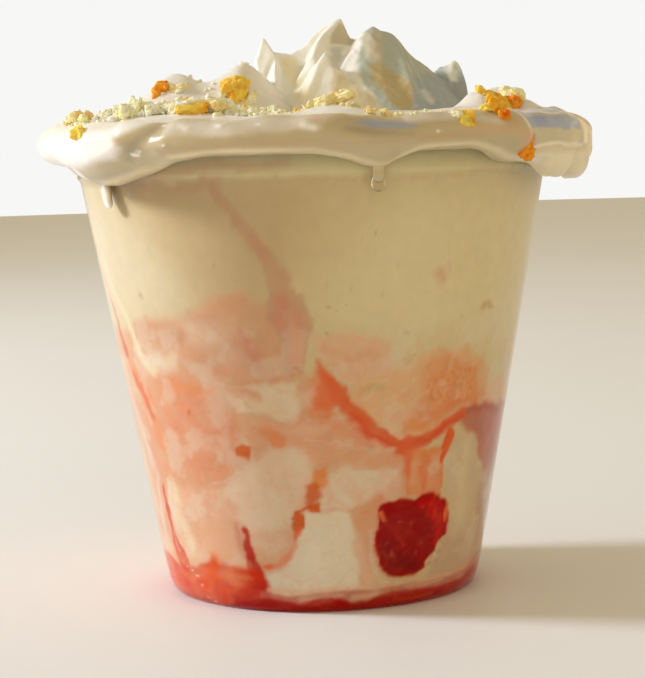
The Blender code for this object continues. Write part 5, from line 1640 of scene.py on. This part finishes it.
@dataclass
class WhippedCream:
    """The dollop of whipped cream: a mound with ridges drawn up to curled tips."""

    centre: Point = (9.9, -0.6)
    radii: Point = (20.3, 18.2)
    base: float = 89.5
    crown: float = 10.0
    blend: float = 0.3
    cells: int = 308
    # How many times its creases are smoothed
    softening: int = 9
    # Tips curl above this height
    curl_height: float = 101.0
    # How far it reaches down into the cream
    bedded: float = 1.5
    # Each ridge: slope of its left flank and of its right flank as seen along it, roundness of its crest,
    # then its crest as x, y, height over the resting plane
    ridges: tuple[tuple[float | Point, ...], ...] = (
        (2.2, 5, 0.4, (-6.6, -11, 92.6), (-6.2, -8.4, 97.4), (-6.4, -5.4, 101.4), (-8, -3.4, 105.4)),
        (1.6, 1.9, 0.4, (-7.6, -3.2, 102.6), (-6, -2.4, 102.4), (-3.8, -2, 101.8), (-0.3, -1, 103.8),
         (1.7, -0.4, 106.1), (3.5, 0, 107.9), (5.2, 0.2, 108.5)),
        (1.15, 1.5, 0.4, (4.4, 0.1, 108.2), (2.8, -2.6, 106), (1.7, -4.8, 104), (1.2, -6.6, 101.6),
         (1.4, -8.2, 99.4), (0.2, -11.6, 95)),
        (2.2, 1.9, 0.4, (5.2, 0.2, 108.5), (6.7, 0.5, 106.8), (8.2, 0.8, 104.7), (9.4, 1, 103.2)),
        (1.1, 2.4, 0.4, (12.2, -1.5, 106.6), (10.3, -3, 104.4), (8.6, -4.8, 102.6), (7, -6.6, 101),
         (5.8, -8.4, 98.6)),
        (1.3, 1.05, 1.8, (12.3, -1.4, 106.6), (13.7, -1.2, 106.1), (16, -0.9, 105.4), (17.2, -0.6, 104.3),
         (18.7, 0, 102.3), (20.6, 0.4, 100.5), (23, 0.9, 98.8), (25.2, 1.4, 97), (28.4, 2, 93)),
        (0.8, 2.6, 0.6, (8.4, -6.2, 102), (10.6, -9.2, 99.2), (12.8, -12.8, 95.8), (14.4, -16, 91.8)),
        (2.4, 0.95, 1, (15.4, -1.6, 105.2), (16.4, -5, 102.6), (17.8, -8.8, 99.4), (19.2, -12.4, 95.8),
         (20.2, -15, 91.8)),
        (3.4, 1.5, 0.3, (3.2, -10.4, 101.7), (4.2, -11.3, 99.8), (5.6, -12.4, 98.2), (7.4, -13.4, 96.4),
         (9.8, -14.8, 94.2), (11.8, -16, 92.2)),
        (1.3, 2.8, 0.3, (3.2, -10.4, 101.7), (2.6, -12.2, 97.4), (2, -14.4, 92.8)),
        (1.5, 1, 0.5, (22.6, 7.4, 97), (25.5, 6.2, 99.4), (27.8, 5.8, 100.3), (28.7, 5.6, 99.6)),
        (1.1, 1.1, 1.4, (8, 2.6, 105), (4.6, 9, 99.6), (1.6, 14.4, 93.4)),
        (1.1, 1.1, 1.4, (15.8, 3, 104), (16.4, 9.4, 99), (13.8, 15.4, 92.6)),
        (1.3, 1.3, 1.2, (-4.8, -1.6, 102), (-6.4, 4.6, 97.8), (-6.6, 9, 92.6)),
    )
    # Tips that curl over: x, y, reach of the curl, sideways shift at the tip
    curls: tuple[Point, ...] = (
        (-8, -3.4, 2.2, -0.9), (5.2, 0.2, 1.6, 0.9), (12.4, -1.5, 1.5, 0.5), (28.7, 5.6, 1.2, 0.5),
    )

    @staticmethod
    def ridge_height(x: Array, y: Array, ridge: tuple[float | Point, ...]) -> Array:
        """How high a ridge and its flanks stand at each place.

        Args:
            x: Places along X.
            y: Places along Y.
            ridge: The ridge, as the ridges field describes it.

        Returns:
            One height for each place.
        """
        left, right, roundness, crest = ridge[0], ridge[1], ridge[2], ridge[3:]
        nearest, height = np.full(x.shape, np.inf), np.zeros(x.shape)
        for start, end in zip(crest, crest[1:]):
            run_x, run_y = end[0] - start[0], end[1] - start[1]
            off_x, off_y = x - start[0], y - start[1]
            along = np.clip((off_x * run_x + off_y * run_y) / (run_x**2 + run_y**2), 0.0, 1.0)
            away = np.hypot(off_x - along * run_x, off_y - along * run_y)
            side = np.where(run_x * off_y - run_y * off_x > 0.0, left, right)
            level = start[2] + (end[2] - start[2]) * along - side * (np.hypot(away, roundness) - roundness)
            height = np.where(away < nearest, level, height)
            nearest = np.minimum(nearest, away)
        return height

    def height(self, x: Array, y: Array) -> Array:
        """Height of the dollop's upper face.

        Args:
            x: Places along X.
            y: Places along Y.

        Returns:
            One height for each place.
        """
        reach_x, reach_y = (x - self.centre[0]) / self.radii[0], (y - self.centre[1]) / self.radii[1]
        mound = self.base + self.crown * np.maximum(0.0, 1.0 - reach_x**2 - reach_y**2) ** 0.7
        levels = [mound] + [self.ridge_height(x, y, ridge) for ridge in self.ridges]
        return self.blend * np.logaddexp.reduce(np.array(levels) / self.blend, axis=0)

    def build(self) -> None:
        """Makes the dollop: a round sheet lifted to its ridges, closed underneath."""
        bm = bmesh.new()
        bmesh.ops.create_grid(bm, x_segments=self.cells, y_segments=self.cells, size=1.0)
        grid = read_places(bm)
        round_x = grid[:, 0] * np.sqrt(1.0 - grid[:, 1] ** 2 / 2.0)
        round_y = grid[:, 1] * np.sqrt(1.0 - grid[:, 0] ** 2 / 2.0)
        x = self.centre[0] + round_x * self.radii[0]
        y = self.centre[1] + round_y * self.radii[1]
        ground = np.column_stack([x, y, np.zeros(len(x))])
        wave_x, wave_y = 0.35 * ripples(ground, 4.0, 2, 61), 0.35 * ripples(ground, 4.0, 2, 62)
        z = self.height(x + wave_x, y + wave_y)
        # Streaks that run up the ridges, and on the right along the broad side
        upwards = np.column_stack([x, y, z * 0.25])
        sideways = np.column_stack([0.65 * x + 0.76 * z, 0.12 * x - 0.1 * z, 0.3 * y])
        z = z + 0.14 * ripples(upwards, 1.5, 3, 63) - 0.10 * np.abs(ripples(upwards, 3.2, 2, 64))
        z = z - 0.30 * np.abs(ripples(sideways, 1.6, 3, 65)) * smooth_step((x - 8.0) / 5.0)
        for tip_x, tip_y, reach, shift in self.curls:
            near = bell(np.hypot(x - tip_x, y - tip_y), reach)
            x = x + shift * near * np.clip((z - self.curl_height) / 7.0, 0.0, 1.0)
        move_vertices(bm, np.column_stack([x, y, z]))
        for _ in range(self.softening):
            bmesh.ops.smooth_vert(bm, verts=bm.verts, factor=0.5, use_axis_z=True)
        rim = [edge for edge in bm.edges if edge.is_boundary]
        grown = bmesh.ops.extrude_edge_only(bm, edges=rim)["geom"]
        for item in grown:
            if isinstance(item, bmesh.types.BMVert):
                item.co.z = self.base - self.bedded
        bmesh.ops.contextual_create(bm, geom=[item for item in grown if isinstance(item, bmesh.types.BMEdge)])
        bmesh.ops.recalc_face_normals(bm, faces=bm.faces)
        finish = PaintedFood(
            "whipped_cream", 0.5, gloss=0.3, grain=0.015, grain_size=2.0, glow=0.12,
            glow_reach=(1.2, 0.9, 0.6), relief=0.04,
        ).build()
        places = read_places(bm)
        # painted light and shade, laid on flat
        painting = Painting(
            WHIP_STROKES, Pigment.WHIP, ragged=0.3, drift=0.7, speck_count=0, flat=True, painted_shade=(0, 60, 0)
        )
        add_piece("whipped_dollop", bm, finish, ["whipped_cream"], painting.colours(places))


# ---------------------------------------------------------------- cake and crumbs


class Bake(Enum):
    """How crumb is coloured: its pale and its deep tone, as they look in the light at the cup's front."""

    GOLDEN = ((206, 164, 66), (190, 122, 8))
    ORANGE = ((200, 128, 26), (178, 74, 2))
    SPONGE = ((208, 180, 122), (188, 150, 86))
    PALE = ((228, 211, 150), (214, 192, 122))
    YELLOW = ((224, 212, 146), (210, 190, 112))


@dataclass(frozen=True)
class Lump:
    """A torn lump of crumb: its middle, its sizes, its turn about +Z and its tilt in degrees."""

    x: float
    y: float
    z: float
    sizes: Point
    bake: Bake
    turn: float = 0.0
    tilt: float = 0.0

    def matrix(self) -> Matrix:
        """The matrix that makes a block one unit across into this lump."""
        turn = Matrix.Rotation(math.radians(self.turn), 4, "Z")
        tilt = Matrix.Rotation(math.radians(self.tilt), 4, "Y")
        size = Matrix.Diagonal((*self.sizes, 1.0))
        return Matrix.Translation((self.x, self.y, self.z)) @ turn @ tilt @ size


def crumb_colours(places: Array, bakes: Sequence[Bake], pore: float, seed: int) -> Array:
    """Colours lumps of crumb: deeper in soaked patches, and in the pores as painted shade.

    Args:
        places: The vertices, those of each lump together.
        bakes: The bake of each lump.
        pore: Spacing of the pores.
        seed: Another seed gives other patches.

    Returns:
        One linear colour for each vertex.
    """
    each = len(places) // len(bakes)
    pale = np.repeat([own_colour(bake.value[0]) for bake in bakes], each, axis=0)
    deep = np.repeat([own_colour(bake.value[1]) for bake in bakes], each, axis=0)
    patches = 0.45 + 0.55 * ripples(places, 2.0, 3, seed)
    # painted shade: the pores take the deep tone
    share = patches + 0.8 * np.clip(0.5 - pores(places, pore, seed), 0.0, 1.0)
    return pale + (deep - pale) * np.clip(share, 0.0, 1.0)[:, None]


@dataclass
class CakePieces:
    """Torn cake and wafer on the cream, each where its solid is."""

    pieces: dict[str, tuple[Lump, ...]] = field(
        default_factory=lambda: {
            "cake_piece_right": (
                Lump(31.8, -23.4, 92.3, (4.6, 4.6, 2.6), Bake.GOLDEN, 0, 28),
                Lump(34.2, -23.4, 91.1, (4.6, 4.2, 2.8), Bake.GOLDEN, 20, 20),
                Lump(36.5, -22.8, 91.2, (2.8, 3.8, 2.6), Bake.ORANGE, 40),
                Lump(36.6, -19.8, 92.8, (4.6, 4.8, 2.7), Bake.YELLOW, 10),
            ),
            "cake_piece_left": (
                Lump(-13.4, -18.8, 96.0, (5.6, 4.8, 2.8), Bake.GOLDEN, -8, -10),
                Lump(-13.6, -18.8, 93.9, (3.0, 4.4, 4.6), Bake.GOLDEN, 20, -8),
                Lump(-11.0, -19.0, 93.0, (2.8, 3.6, 2.6), Bake.YELLOW, 60),
                Lump(-15.6, -18.8, 94.6, (1.8, 3.0, 2.2), Bake.SPONGE, 30),
            ),
            "cake_piece_far_left": (
                Lump(-27.2, -15.2, 95.1, (3.0, 5.0, 3.8), Bake.ORANGE, 0, 12),
                Lump(-24.6, -15.6, 94.8, (3.8, 4.4, 3.4), Bake.SPONGE, 70),
                Lump(-23.9, -15.6, 93.4, (3.4, 4.4, 2.0), Bake.PALE, 30),
                Lump(-26.6, -16.4, 93.4, (2.6, 3.0, 1.6), Bake.PALE, 10),
            ),
            "wafer_slice_front": (
                Lump(-20.4, -34.5, 91.5, (6.2, 3.8, 2.3), Bake.GOLDEN, 10, -8),
                Lump(-19.4, -32.2, 92.2, (8.6, 5.0, 2.4), Bake.PALE, 12, -6),
                Lump(-16.4, -33.8, 91.7, (3.8, 4.4, 2.2), Bake.SPONGE, 30),
            ),
            "wafer_heap_front": (
                Lump(4.0, -37.0, 92.1, (7.6, 5.0, 2.8), Bake.SPONGE, -6, -14),
                Lump(6.4, -36.8, 93.0, (3.2, 3.4, 2.0), Bake.SPONGE, 30),
                Lump(1.7, -37.3, 91.4, (3.2, 3.2, 2.0), Bake.SPONGE, 70),
            ),
            "cake_piece_back": (
                Lump(-17.6, 27.6, 95.2, (8.8, 7.4, 4.6), Bake.GOLDEN, 50, 8),
                Lump(-15.0, 25.2, 94.6, (4.4, 4.6, 3.4), Bake.ORANGE, 10),
                Lump(-19.6, 29.4, 95.8, (4.6, 4.8, 3.0), Bake.YELLOW, 80),
            ),
            "cake_piece_back_right": (
                Lump(23.0, 28.6, 93.9, (6.8, 6.4, 4.6), Bake.SPONGE, -25, 6),
                Lump(21.6, 30.4, 94.6, (3.8, 3.8, 3.0), Bake.ORANGE, 20),
            ),
            "wafer_slice_back": (
                Lump(-36.2, 14.8, 91.8, (8.8, 6.4, 2.6), Bake.GOLDEN, -40, 8),
                Lump(-36.4, 15.0, 92.7, (6.8, 5.4, 2.2), Bake.PALE, -30, 8),
            ),
        }
    )
    pore: float = 1.1
    pore_depth: float = 0.5
    # A second kind of pore, this much smaller and shallower
    small_pore: float = 0.45
    small_depth: float = 0.5
    # Depth of the fine and of the coarse unevenness
    crumble: Point = (0.24, 0.35)

    def build(self) -> None:
        """Makes one porous piece in place of each solid."""
        finish = PaintedFood(
            "cake_crumb", 0.62, gloss=0.25, grain=0.05, grain_size=0.7, glow=0.25, glow_reach=(1.4, 0.8, 0.3),
            relief=0.2, coat=0.12,
        ).build()
        for seed, (node, lumps) in enumerate(self.pieces.items()):
            low, high = (np.array(corner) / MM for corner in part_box(node))
            frames = [lump.matrix() for lump in lumps]
            bm = torn_lumps(frames, fineness=6, squareness=0.2, crag=0.34, seed=seed + 3)
            places = read_places(bm)
            middles = [(lump.x, lump.y, lump.z) for lump in lumps]
            away = places - np.repeat(middles, len(places) // len(lumps), axis=0)
            away /= np.linalg.norm(away, axis=1)[:, None]
            dent = self.pore_depth * np.clip(0.6 - pores(places, self.pore, seed), 0.0, 1.0)
            small = np.clip(0.55 - pores(places, self.small_pore * self.pore, seed + 5), 0.0, 1.0)
            dent += self.small_depth * self.pore_depth * small
            crumble = self.crumble[0] * ripples(places, 0.9, 3, seed)
            crumble += self.crumble[1] * ripples(places, 2.2, 2, seed + 7)
            places = np.clip(places + away * (crumble - dent)[:, None], low, high)
            move_vertices(bm, places)
            colours = crumb_colours(places, [lump.bake for lump in lumps], self.pore, seed)
            bmesh.ops.recalc_face_normals(bm, faces=bm.faces)
            add_piece(f"{node}_torn", bm, finish, [node], colours)


@dataclass(frozen=True)
class CrumbPatch:
    """A patch of crumbs: its middle, how far it spreads, how many there are, how large, and their bake."""

    x: float
    y: float
    spread_x: float
    spread_y: float
    count: int
    smallest: float
    largest: float
    bake: Bake


@dataclass
class Crumbs:
    """Loose crumbs on the cream, in one piece for each kind."""

    cream: CreamLayer
    seed: int = 5
    # Each patch as the fields of CrumbPatch
    sponge: tuple[Point, ...] = (
        (-31.5, -29.5, 2.6, 1.6, 9, 1.8, 3, Bake.YELLOW), (-36, -25, 2.4, 1.6, 7, 1.3, 2.4, Bake.YELLOW),
        (-25.5, -30.5, 2, 1.6, 6, 1.4, 2.6, Bake.PALE), (-14.5, -33, 2.4, 1.6, 8, 1.4, 2.8, Bake.YELLOW),
        (-17.5, -26, 2.6, 2.4, 6, 1.4, 2.6, Bake.PALE), (-9.5, -28, 2, 2.4, 8, 1.4, 2.8, Bake.YELLOW),
        (-42.2, -20, 1.2, 1.6, 5, 1.2, 2.2, Bake.SPONGE),
        (0.6, -38.4, 1.6, 1.2, 6, 1.2, 2.4, Bake.SPONGE), (13, -43.5, 2.6, 0.8, 4, 1, 1.6, Bake.SPONGE),
        (-12, 26, 6, 6, 14, 1.4, 3, Bake.YELLOW), (24, 24, 7, 5, 12, 1.3, 2.8, Bake.SPONGE),
        (-32, 20, 4, 4, 8, 1.2, 2.4, Bake.PALE),
    )
    pale: tuple[Point, ...] = (
        (-28, -29, 5.5, 2.4, 90, 0.5, 1.5, Bake.PALE), (-38, -22, 4, 3, 50, 0.4, 1.2, Bake.YELLOW),
        (-12, -33, 4, 2.4, 60, 0.5, 1.5, Bake.PALE), (-20, -22, 8, 5, 60, 0.5, 1.4, Bake.PALE),
        (-8, -30, 3, 4, 40, 0.5, 1.3, Bake.YELLOW), (3, -38.5, 4, 1.6, 60, 0.4, 1.3, Bake.SPONGE),
        (16, -42, 5, 1.6, 26, 0.4, 1, Bake.SPONGE), (-20, 22, 12, 8, 90, 0.5, 1.6, Bake.PALE),
        (24, 28, 8, 6, 60, 0.5, 1.4, Bake.SPONGE),
    )
    golden: tuple[Point, ...] = (
        (-40.4, -21, 2.2, 1.6, 5, 0.7, 1.2, Bake.GOLDEN), (-18, -26, 6, 4, 10, 0.6, 1.3, Bake.GOLDEN),
        (-4, -33, 2, 2, 4, 0.6, 1.3, Bake.ORANGE), (0.2, -26, 1.6, 1.2, 5, 0.8, 1.6, Bake.GOLDEN),
        (-10, 28, 14, 6, 30, 0.6, 1.6, Bake.GOLDEN), (30, 18, 4, 8, 14, 0.6, 1.4, Bake.GOLDEN),
    )
    # Crumbs lie no nearer to the edge of the cream, and no farther than this many spreads from their patch
    reach: float = 48.4
    scattered: float = 1.9
    # Crumbs divided more often than this are torn this deep
    smooth_fineness: int = 3
    tear: float = 0.3
    # Larger ones that are stuck in the cream's front
    stuck: tuple[Lump, ...] = (
        Lump(-40.6, -33.0, 87.9, (2.8, 2.6, 2.2), Bake.GOLDEN, -35),
        Lump(-39.6, -33.4, 87.0, (1.4, 1.4, 1.1), Bake.SPONGE, 10),
        Lump(32.0, -36.4, 90.2, (4.4, 3.2, 3.2), Bake.GOLDEN, 40, 20),
        Lump(33.2, -38.6, 87.9, (2.8, 2.8, 3.6), Bake.ORANGE, 40),
        Lump(37.6, -34.4, 84.0, (3.0, 2.4, 4.4), Bake.ORANGE, 48),
        Lump(38.0, -33.2, 82.4, (2.4, 2.4, 2.4), Bake.ORANGE, 60),
        Lump(26.2, -43.7, 88.2, (3.0, 3.0, 2.6), Bake.GOLDEN, 30),
        Lump(24.6, -43.8, 88.9, (2.2, 2.2, 1.6), Bake.PALE, 20),
        Lump(27.0, -43.8, 87.4, (1.9, 2.2, 1.6), Bake.GOLDEN, 50),
        Lump(-42.4, -21.6, 90.9, (2.6, 2.2, 1.7), Bake.SPONGE, 20, -20),
        Lump(-43.6, -20.4, 90.2, (2.0, 2.0, 1.5), Bake.SPONGE, 50),
        Lump(-41.0, -22.6, 90.3, (1.8, 1.6, 1.3), Bake.PALE, 70),
        Lump(-44.6, -18.0, 90.0, (1.4, 1.6, 1.2), Bake.PALE, 0),
    )

    def build(self) -> None:
        """Scatters every kind."""
        finish = PaintedFood(
            "loose_crumb", 0.65, gloss=0.15, grain=0.05, grain_size=0.5, glow=0.3, glow_reach=(1.4, 1.0, 0.5),
            relief=0.2,
        ).build()
        self.scatter("sponge_crumbs", self.sponge, finish, 4, 2)
        self.scatter("pale_crumbs", self.pale, finish, 2, 3)
        self.scatter("golden_crumbs", self.golden, finish, 4, 4)
        bakes = [lump.bake for lump in self.stuck]
        self.add_crumbs("stuck_crumbs", [lump.matrix() for lump in self.stuck], bakes, finish, 5, 5)

    def scatter(
        self, name: str, patches: Sequence[Point], finish: bpy.types.Material, fineness: int, shift: int
    ) -> None:
        """Makes one piece of many crumbs that lie on the cream.

        Args:
            name: The piece's name.
            patches: Where the crumbs lie, each as the fields of CrumbPatch.
            finish: Their finish.
            fineness: How many times the faces of each are divided.
            shift: Added to the seed, so that each kind lies differently.
        """
        draw = np.random.default_rng(self.seed + shift)
        frames, bakes = [], []
        for patch in (CrumbPatch(*row) for row in patches):
            off_x = np.clip(draw.normal(size=patch.count), -self.scattered, self.scattered)
            off_y = np.clip(draw.normal(size=patch.count), -self.scattered, self.scattered)
            x, y = patch.x + patch.spread_x * off_x, patch.y + patch.spread_y * off_y
            pull = np.minimum(1.0, self.reach / np.maximum(np.hypot(x, y), 1e-6))
            x, y = x * pull, y * pull
            z = self.cream.height(x, y)
            sizes = patch.smallest + (patch.largest - patch.smallest) * draw.random(patch.count) ** 2.0
            for index in range(patch.count):
                size = float(sizes[index])
                shape = Matrix.Diagonal((*(float(part) * size for part in draw.uniform(0.6, 1.35, 3)), 1.0))
                turn = Matrix.Rotation(float(draw.uniform(0, math.tau)), 4, "Z")
                tilt = Matrix.Rotation(float(draw.uniform(-0.8, 0.8)), 4, "X")
                at = Matrix.Translation((float(x[index]), float(y[index]), float(z[index]) + 0.12 * size))
                frames.append(at @ turn @ tilt @ shape)
                bakes.append(patch.bake)
        self.add_crumbs(name, frames, bakes, finish, fineness, shift)

    def add_crumbs(
        self, name: str, frames: Sequence[Matrix], bakes: Sequence[Bake], finish: bpy.types.Material,
        fineness: int, shift: int,
    ) -> None:
        """Makes one piece of the crumbs that the frames describe.

        Args:
            name: The piece's name.
            frames: The matrix of each crumb.
            bakes: The bake of each crumb.
            finish: Their finish.
            fineness: How many times the faces of each are divided.
            shift: The seed of their shapes.
        """
        bm = torn_lumps(frames, fineness, squareness=0.3, crag=0.55, seed=shift)
        places = read_places(bm)
        if fineness > self.smooth_fineness:
            torn = [ripples(places, 0.9, 3, axis + shift) for axis in range(3)]
            places += self.tear * np.stack(torn, axis=1)
            move_vertices(bm, places)
            bmesh.ops.recalc_face_normals(bm, faces=bm.faces)
        add_piece(name, bm, finish, colours=crumb_colours(places, bakes, 0.8, shift))


@dataclass
class ClearDrops:
    """Clear syrup that hangs under the cream."""

    shape: CupShape
    drops: tuple[Bead, ...] = (
        Bead(14.2, 45.7, 79.6, 76.2, 2.5, flatness=0.7, neck=0.8, swell=0.4, gap=0.02),
    )

    def build(self) -> None:
        """Makes the drops, pressed against the wall."""
        bm = bmesh.new()
        for drop in self.drops:
            drop.add_to(bm, self.shape)
        bmesh.ops.recalc_face_normals(bm, faces=bm.faces)
        finish = ClearFinish("clear_syrup", tint=(1.0, 0.98, 0.92), ior=1.38, roughness=0.02)
        add_piece("clear_drops", bm, finish.build(), ["cream_layer"])


# ---------------------------------------------------------------- studio


@dataclass
class Studio:
    """The floor, the light and the camera."""

    floor_radius: float = 3000.0
    camera_distance: float = 398.1
    camera_height: float = 82.6
    # Turns of the camera in radians: downwards, to the right and about its own axis
    pitch: float = 0.0885
    yaw: float = 0.0026
    roll: float = -0.0299
    # Its focal length, and the picture's height, in the picture's own pixels
    focal_pixels: float = 2065.9
    frame_pixels: float = 678.0
    key_heading: float = -98.0
    key_elevation: float = 28.0
    key_distance: float = 1300.0
    key_size: float = 240.0
    key_power: float = 12.2
    key_colour: Point = (0.95, 0.99, 1.05)
    # The height over the floor that the key light is aimed at
    key_aim: float = 60.0
    # The soft light's linear colour at the horizon and from above, and its strength
    sky_low: Point = (1.22, 0.92, 0.52, 1.0)
    sky_high: Point = (0.40, 0.36, 0.26, 1.0)
    sky_strength: float = 0.88
    backdrop: Point = (0.93, 0.93, 0.92, 1.0)

    def build(self) -> None:
        """Sets everything up."""
        self.lay_floor()
        self.light_world()
        self.add_key()
        self.place_camera()
        view = bpy.context.scene.view_settings
        view.view_transform = "Standard"
        bpy.context.scene.cycles.use_denoising = True

    def lay_floor(self) -> None:
        """Lays a wide round floor under the cup."""
        bm = bmesh.new()
        bmesh.ops.create_circle(bm, cap_ends=True, radius=self.floor_radius * MM, segments=128)
        mesh = bpy.data.meshes.new("floor")
        bm.to_mesh(mesh)
        bm.free()
        mesh.materials.append(FloorFinish().build())
        floor = bpy.data.objects.new("floor", mesh)
        bpy.context.scene.collection.objects.link(floor)

    def light_world(self) -> None:
        """Lights everything softly: cooler from above than from the sides, and white behind."""
        world = bpy.data.worlds.new("soft_studio")
        world.use_nodes = True
        tree = world.node_tree
        soft = tree.nodes["Background"]
        place = tree.nodes.new("ShaderNodeTexCoord")
        split = tree.nodes.new("ShaderNodeSeparateXYZ")
        ramp = tree.nodes.new("ShaderNodeValToRGB")
        low, high = ramp.color_ramp.elements
        low.position, high.position = 0.0, 0.9
        low.color, high.color = self.sky_low, self.sky_high
        tree.links.new(place.outputs["Generated"], split.inputs[0])
        tree.links.new(split.outputs["Z"], ramp.inputs["Fac"])
        tree.links.new(ramp.outputs["Color"], soft.inputs["Color"])
        soft.inputs["Strength"].default_value = self.sky_strength
        white = tree.nodes.new("ShaderNodeBackground")
        white.inputs["Color"].default_value = self.backdrop
        mixed = tree.nodes.new("ShaderNodeMixShader")
        tree.links.new(tree.nodes.new("ShaderNodeLightPath").outputs["Is Camera Ray"], mixed.inputs[0])
        tree.links.new(soft.outputs["Background"], mixed.inputs[1])
        tree.links.new(white.outputs["Background"], mixed.inputs[2])
        tree.links.new(mixed.outputs["Shader"], tree.nodes["World Output"].inputs["Surface"])
        bpy.context.scene.world = world

    def add_key(self) -> None:
        """Adds the soft square key lamp, which faces the cup."""
        lamp = bpy.data.lights.new("key", "AREA")
        lamp.size = self.key_size * MM
        lamp.energy = self.key_power
        lamp.color = self.key_colour
        holder = bpy.data.objects.new("key", lamp)
        elevation = math.radians(self.key_elevation)
        flat = self.key_distance * math.cos(elevation)
        rise = self.key_distance * math.sin(elevation) + self.key_aim
        place = Vector(ring_points(np.array(self.key_heading), np.array(flat), np.array(rise))) * MM
        holder.location = place
        target = Vector((0.0, 0.0, self.key_aim * MM))
        holder.rotation_euler = (target - place).to_track_quat("-Z", "Y").to_euler()
        bpy.context.scene.collection.objects.link(holder)

    def place_camera(self) -> None:
        """Puts the camera where the photograph was taken from."""
        data = bpy.data.cameras.new("camera")
        data.sensor_width = 36.0
        data.lens = self.focal_pixels / self.frame_pixels * data.sensor_width
        data.clip_start = 0.01
        camera = bpy.data.objects.new("camera", data)
        level = math.cos(self.pitch)
        ahead = Vector((math.sin(self.yaw) * level, math.cos(self.yaw) * level, -math.sin(self.pitch)))
        level_right = ahead.cross(Vector((0.0, 0.0, 1.0))).normalized()
        level_up = level_right.cross(ahead).normalized()
        right = level_right * math.cos(self.roll) + level_up * math.sin(self.roll)
        up = level_up * math.cos(self.roll) - level_right * math.sin(self.roll)
        matrix = Matrix((right, up, -ahead)).transposed().to_4x4()
        matrix.translation = Vector((0.0, -self.camera_distance, self.camera_height)) * MM
        camera.matrix_world = matrix
        bpy.context.scene.collection.objects.link(camera)
        bpy.context.scene.camera = camera


def main() -> None:
    """Builds every piece of the part, then the studio."""
    logging.basicConfig(level=logging.INFO, format="%(name)s: %(message)s")
    shape = CupShape()
    cream = CreamLayer(shape)
    food = (CupContents(shape), cream, WhippedCream(), CakePieces(), Crumbs(cream), ClearDrops(shape))
    for part in (ClearCup(shape), *food, Studio()):
        part.build()


if __name__ == "__main__":
    main()
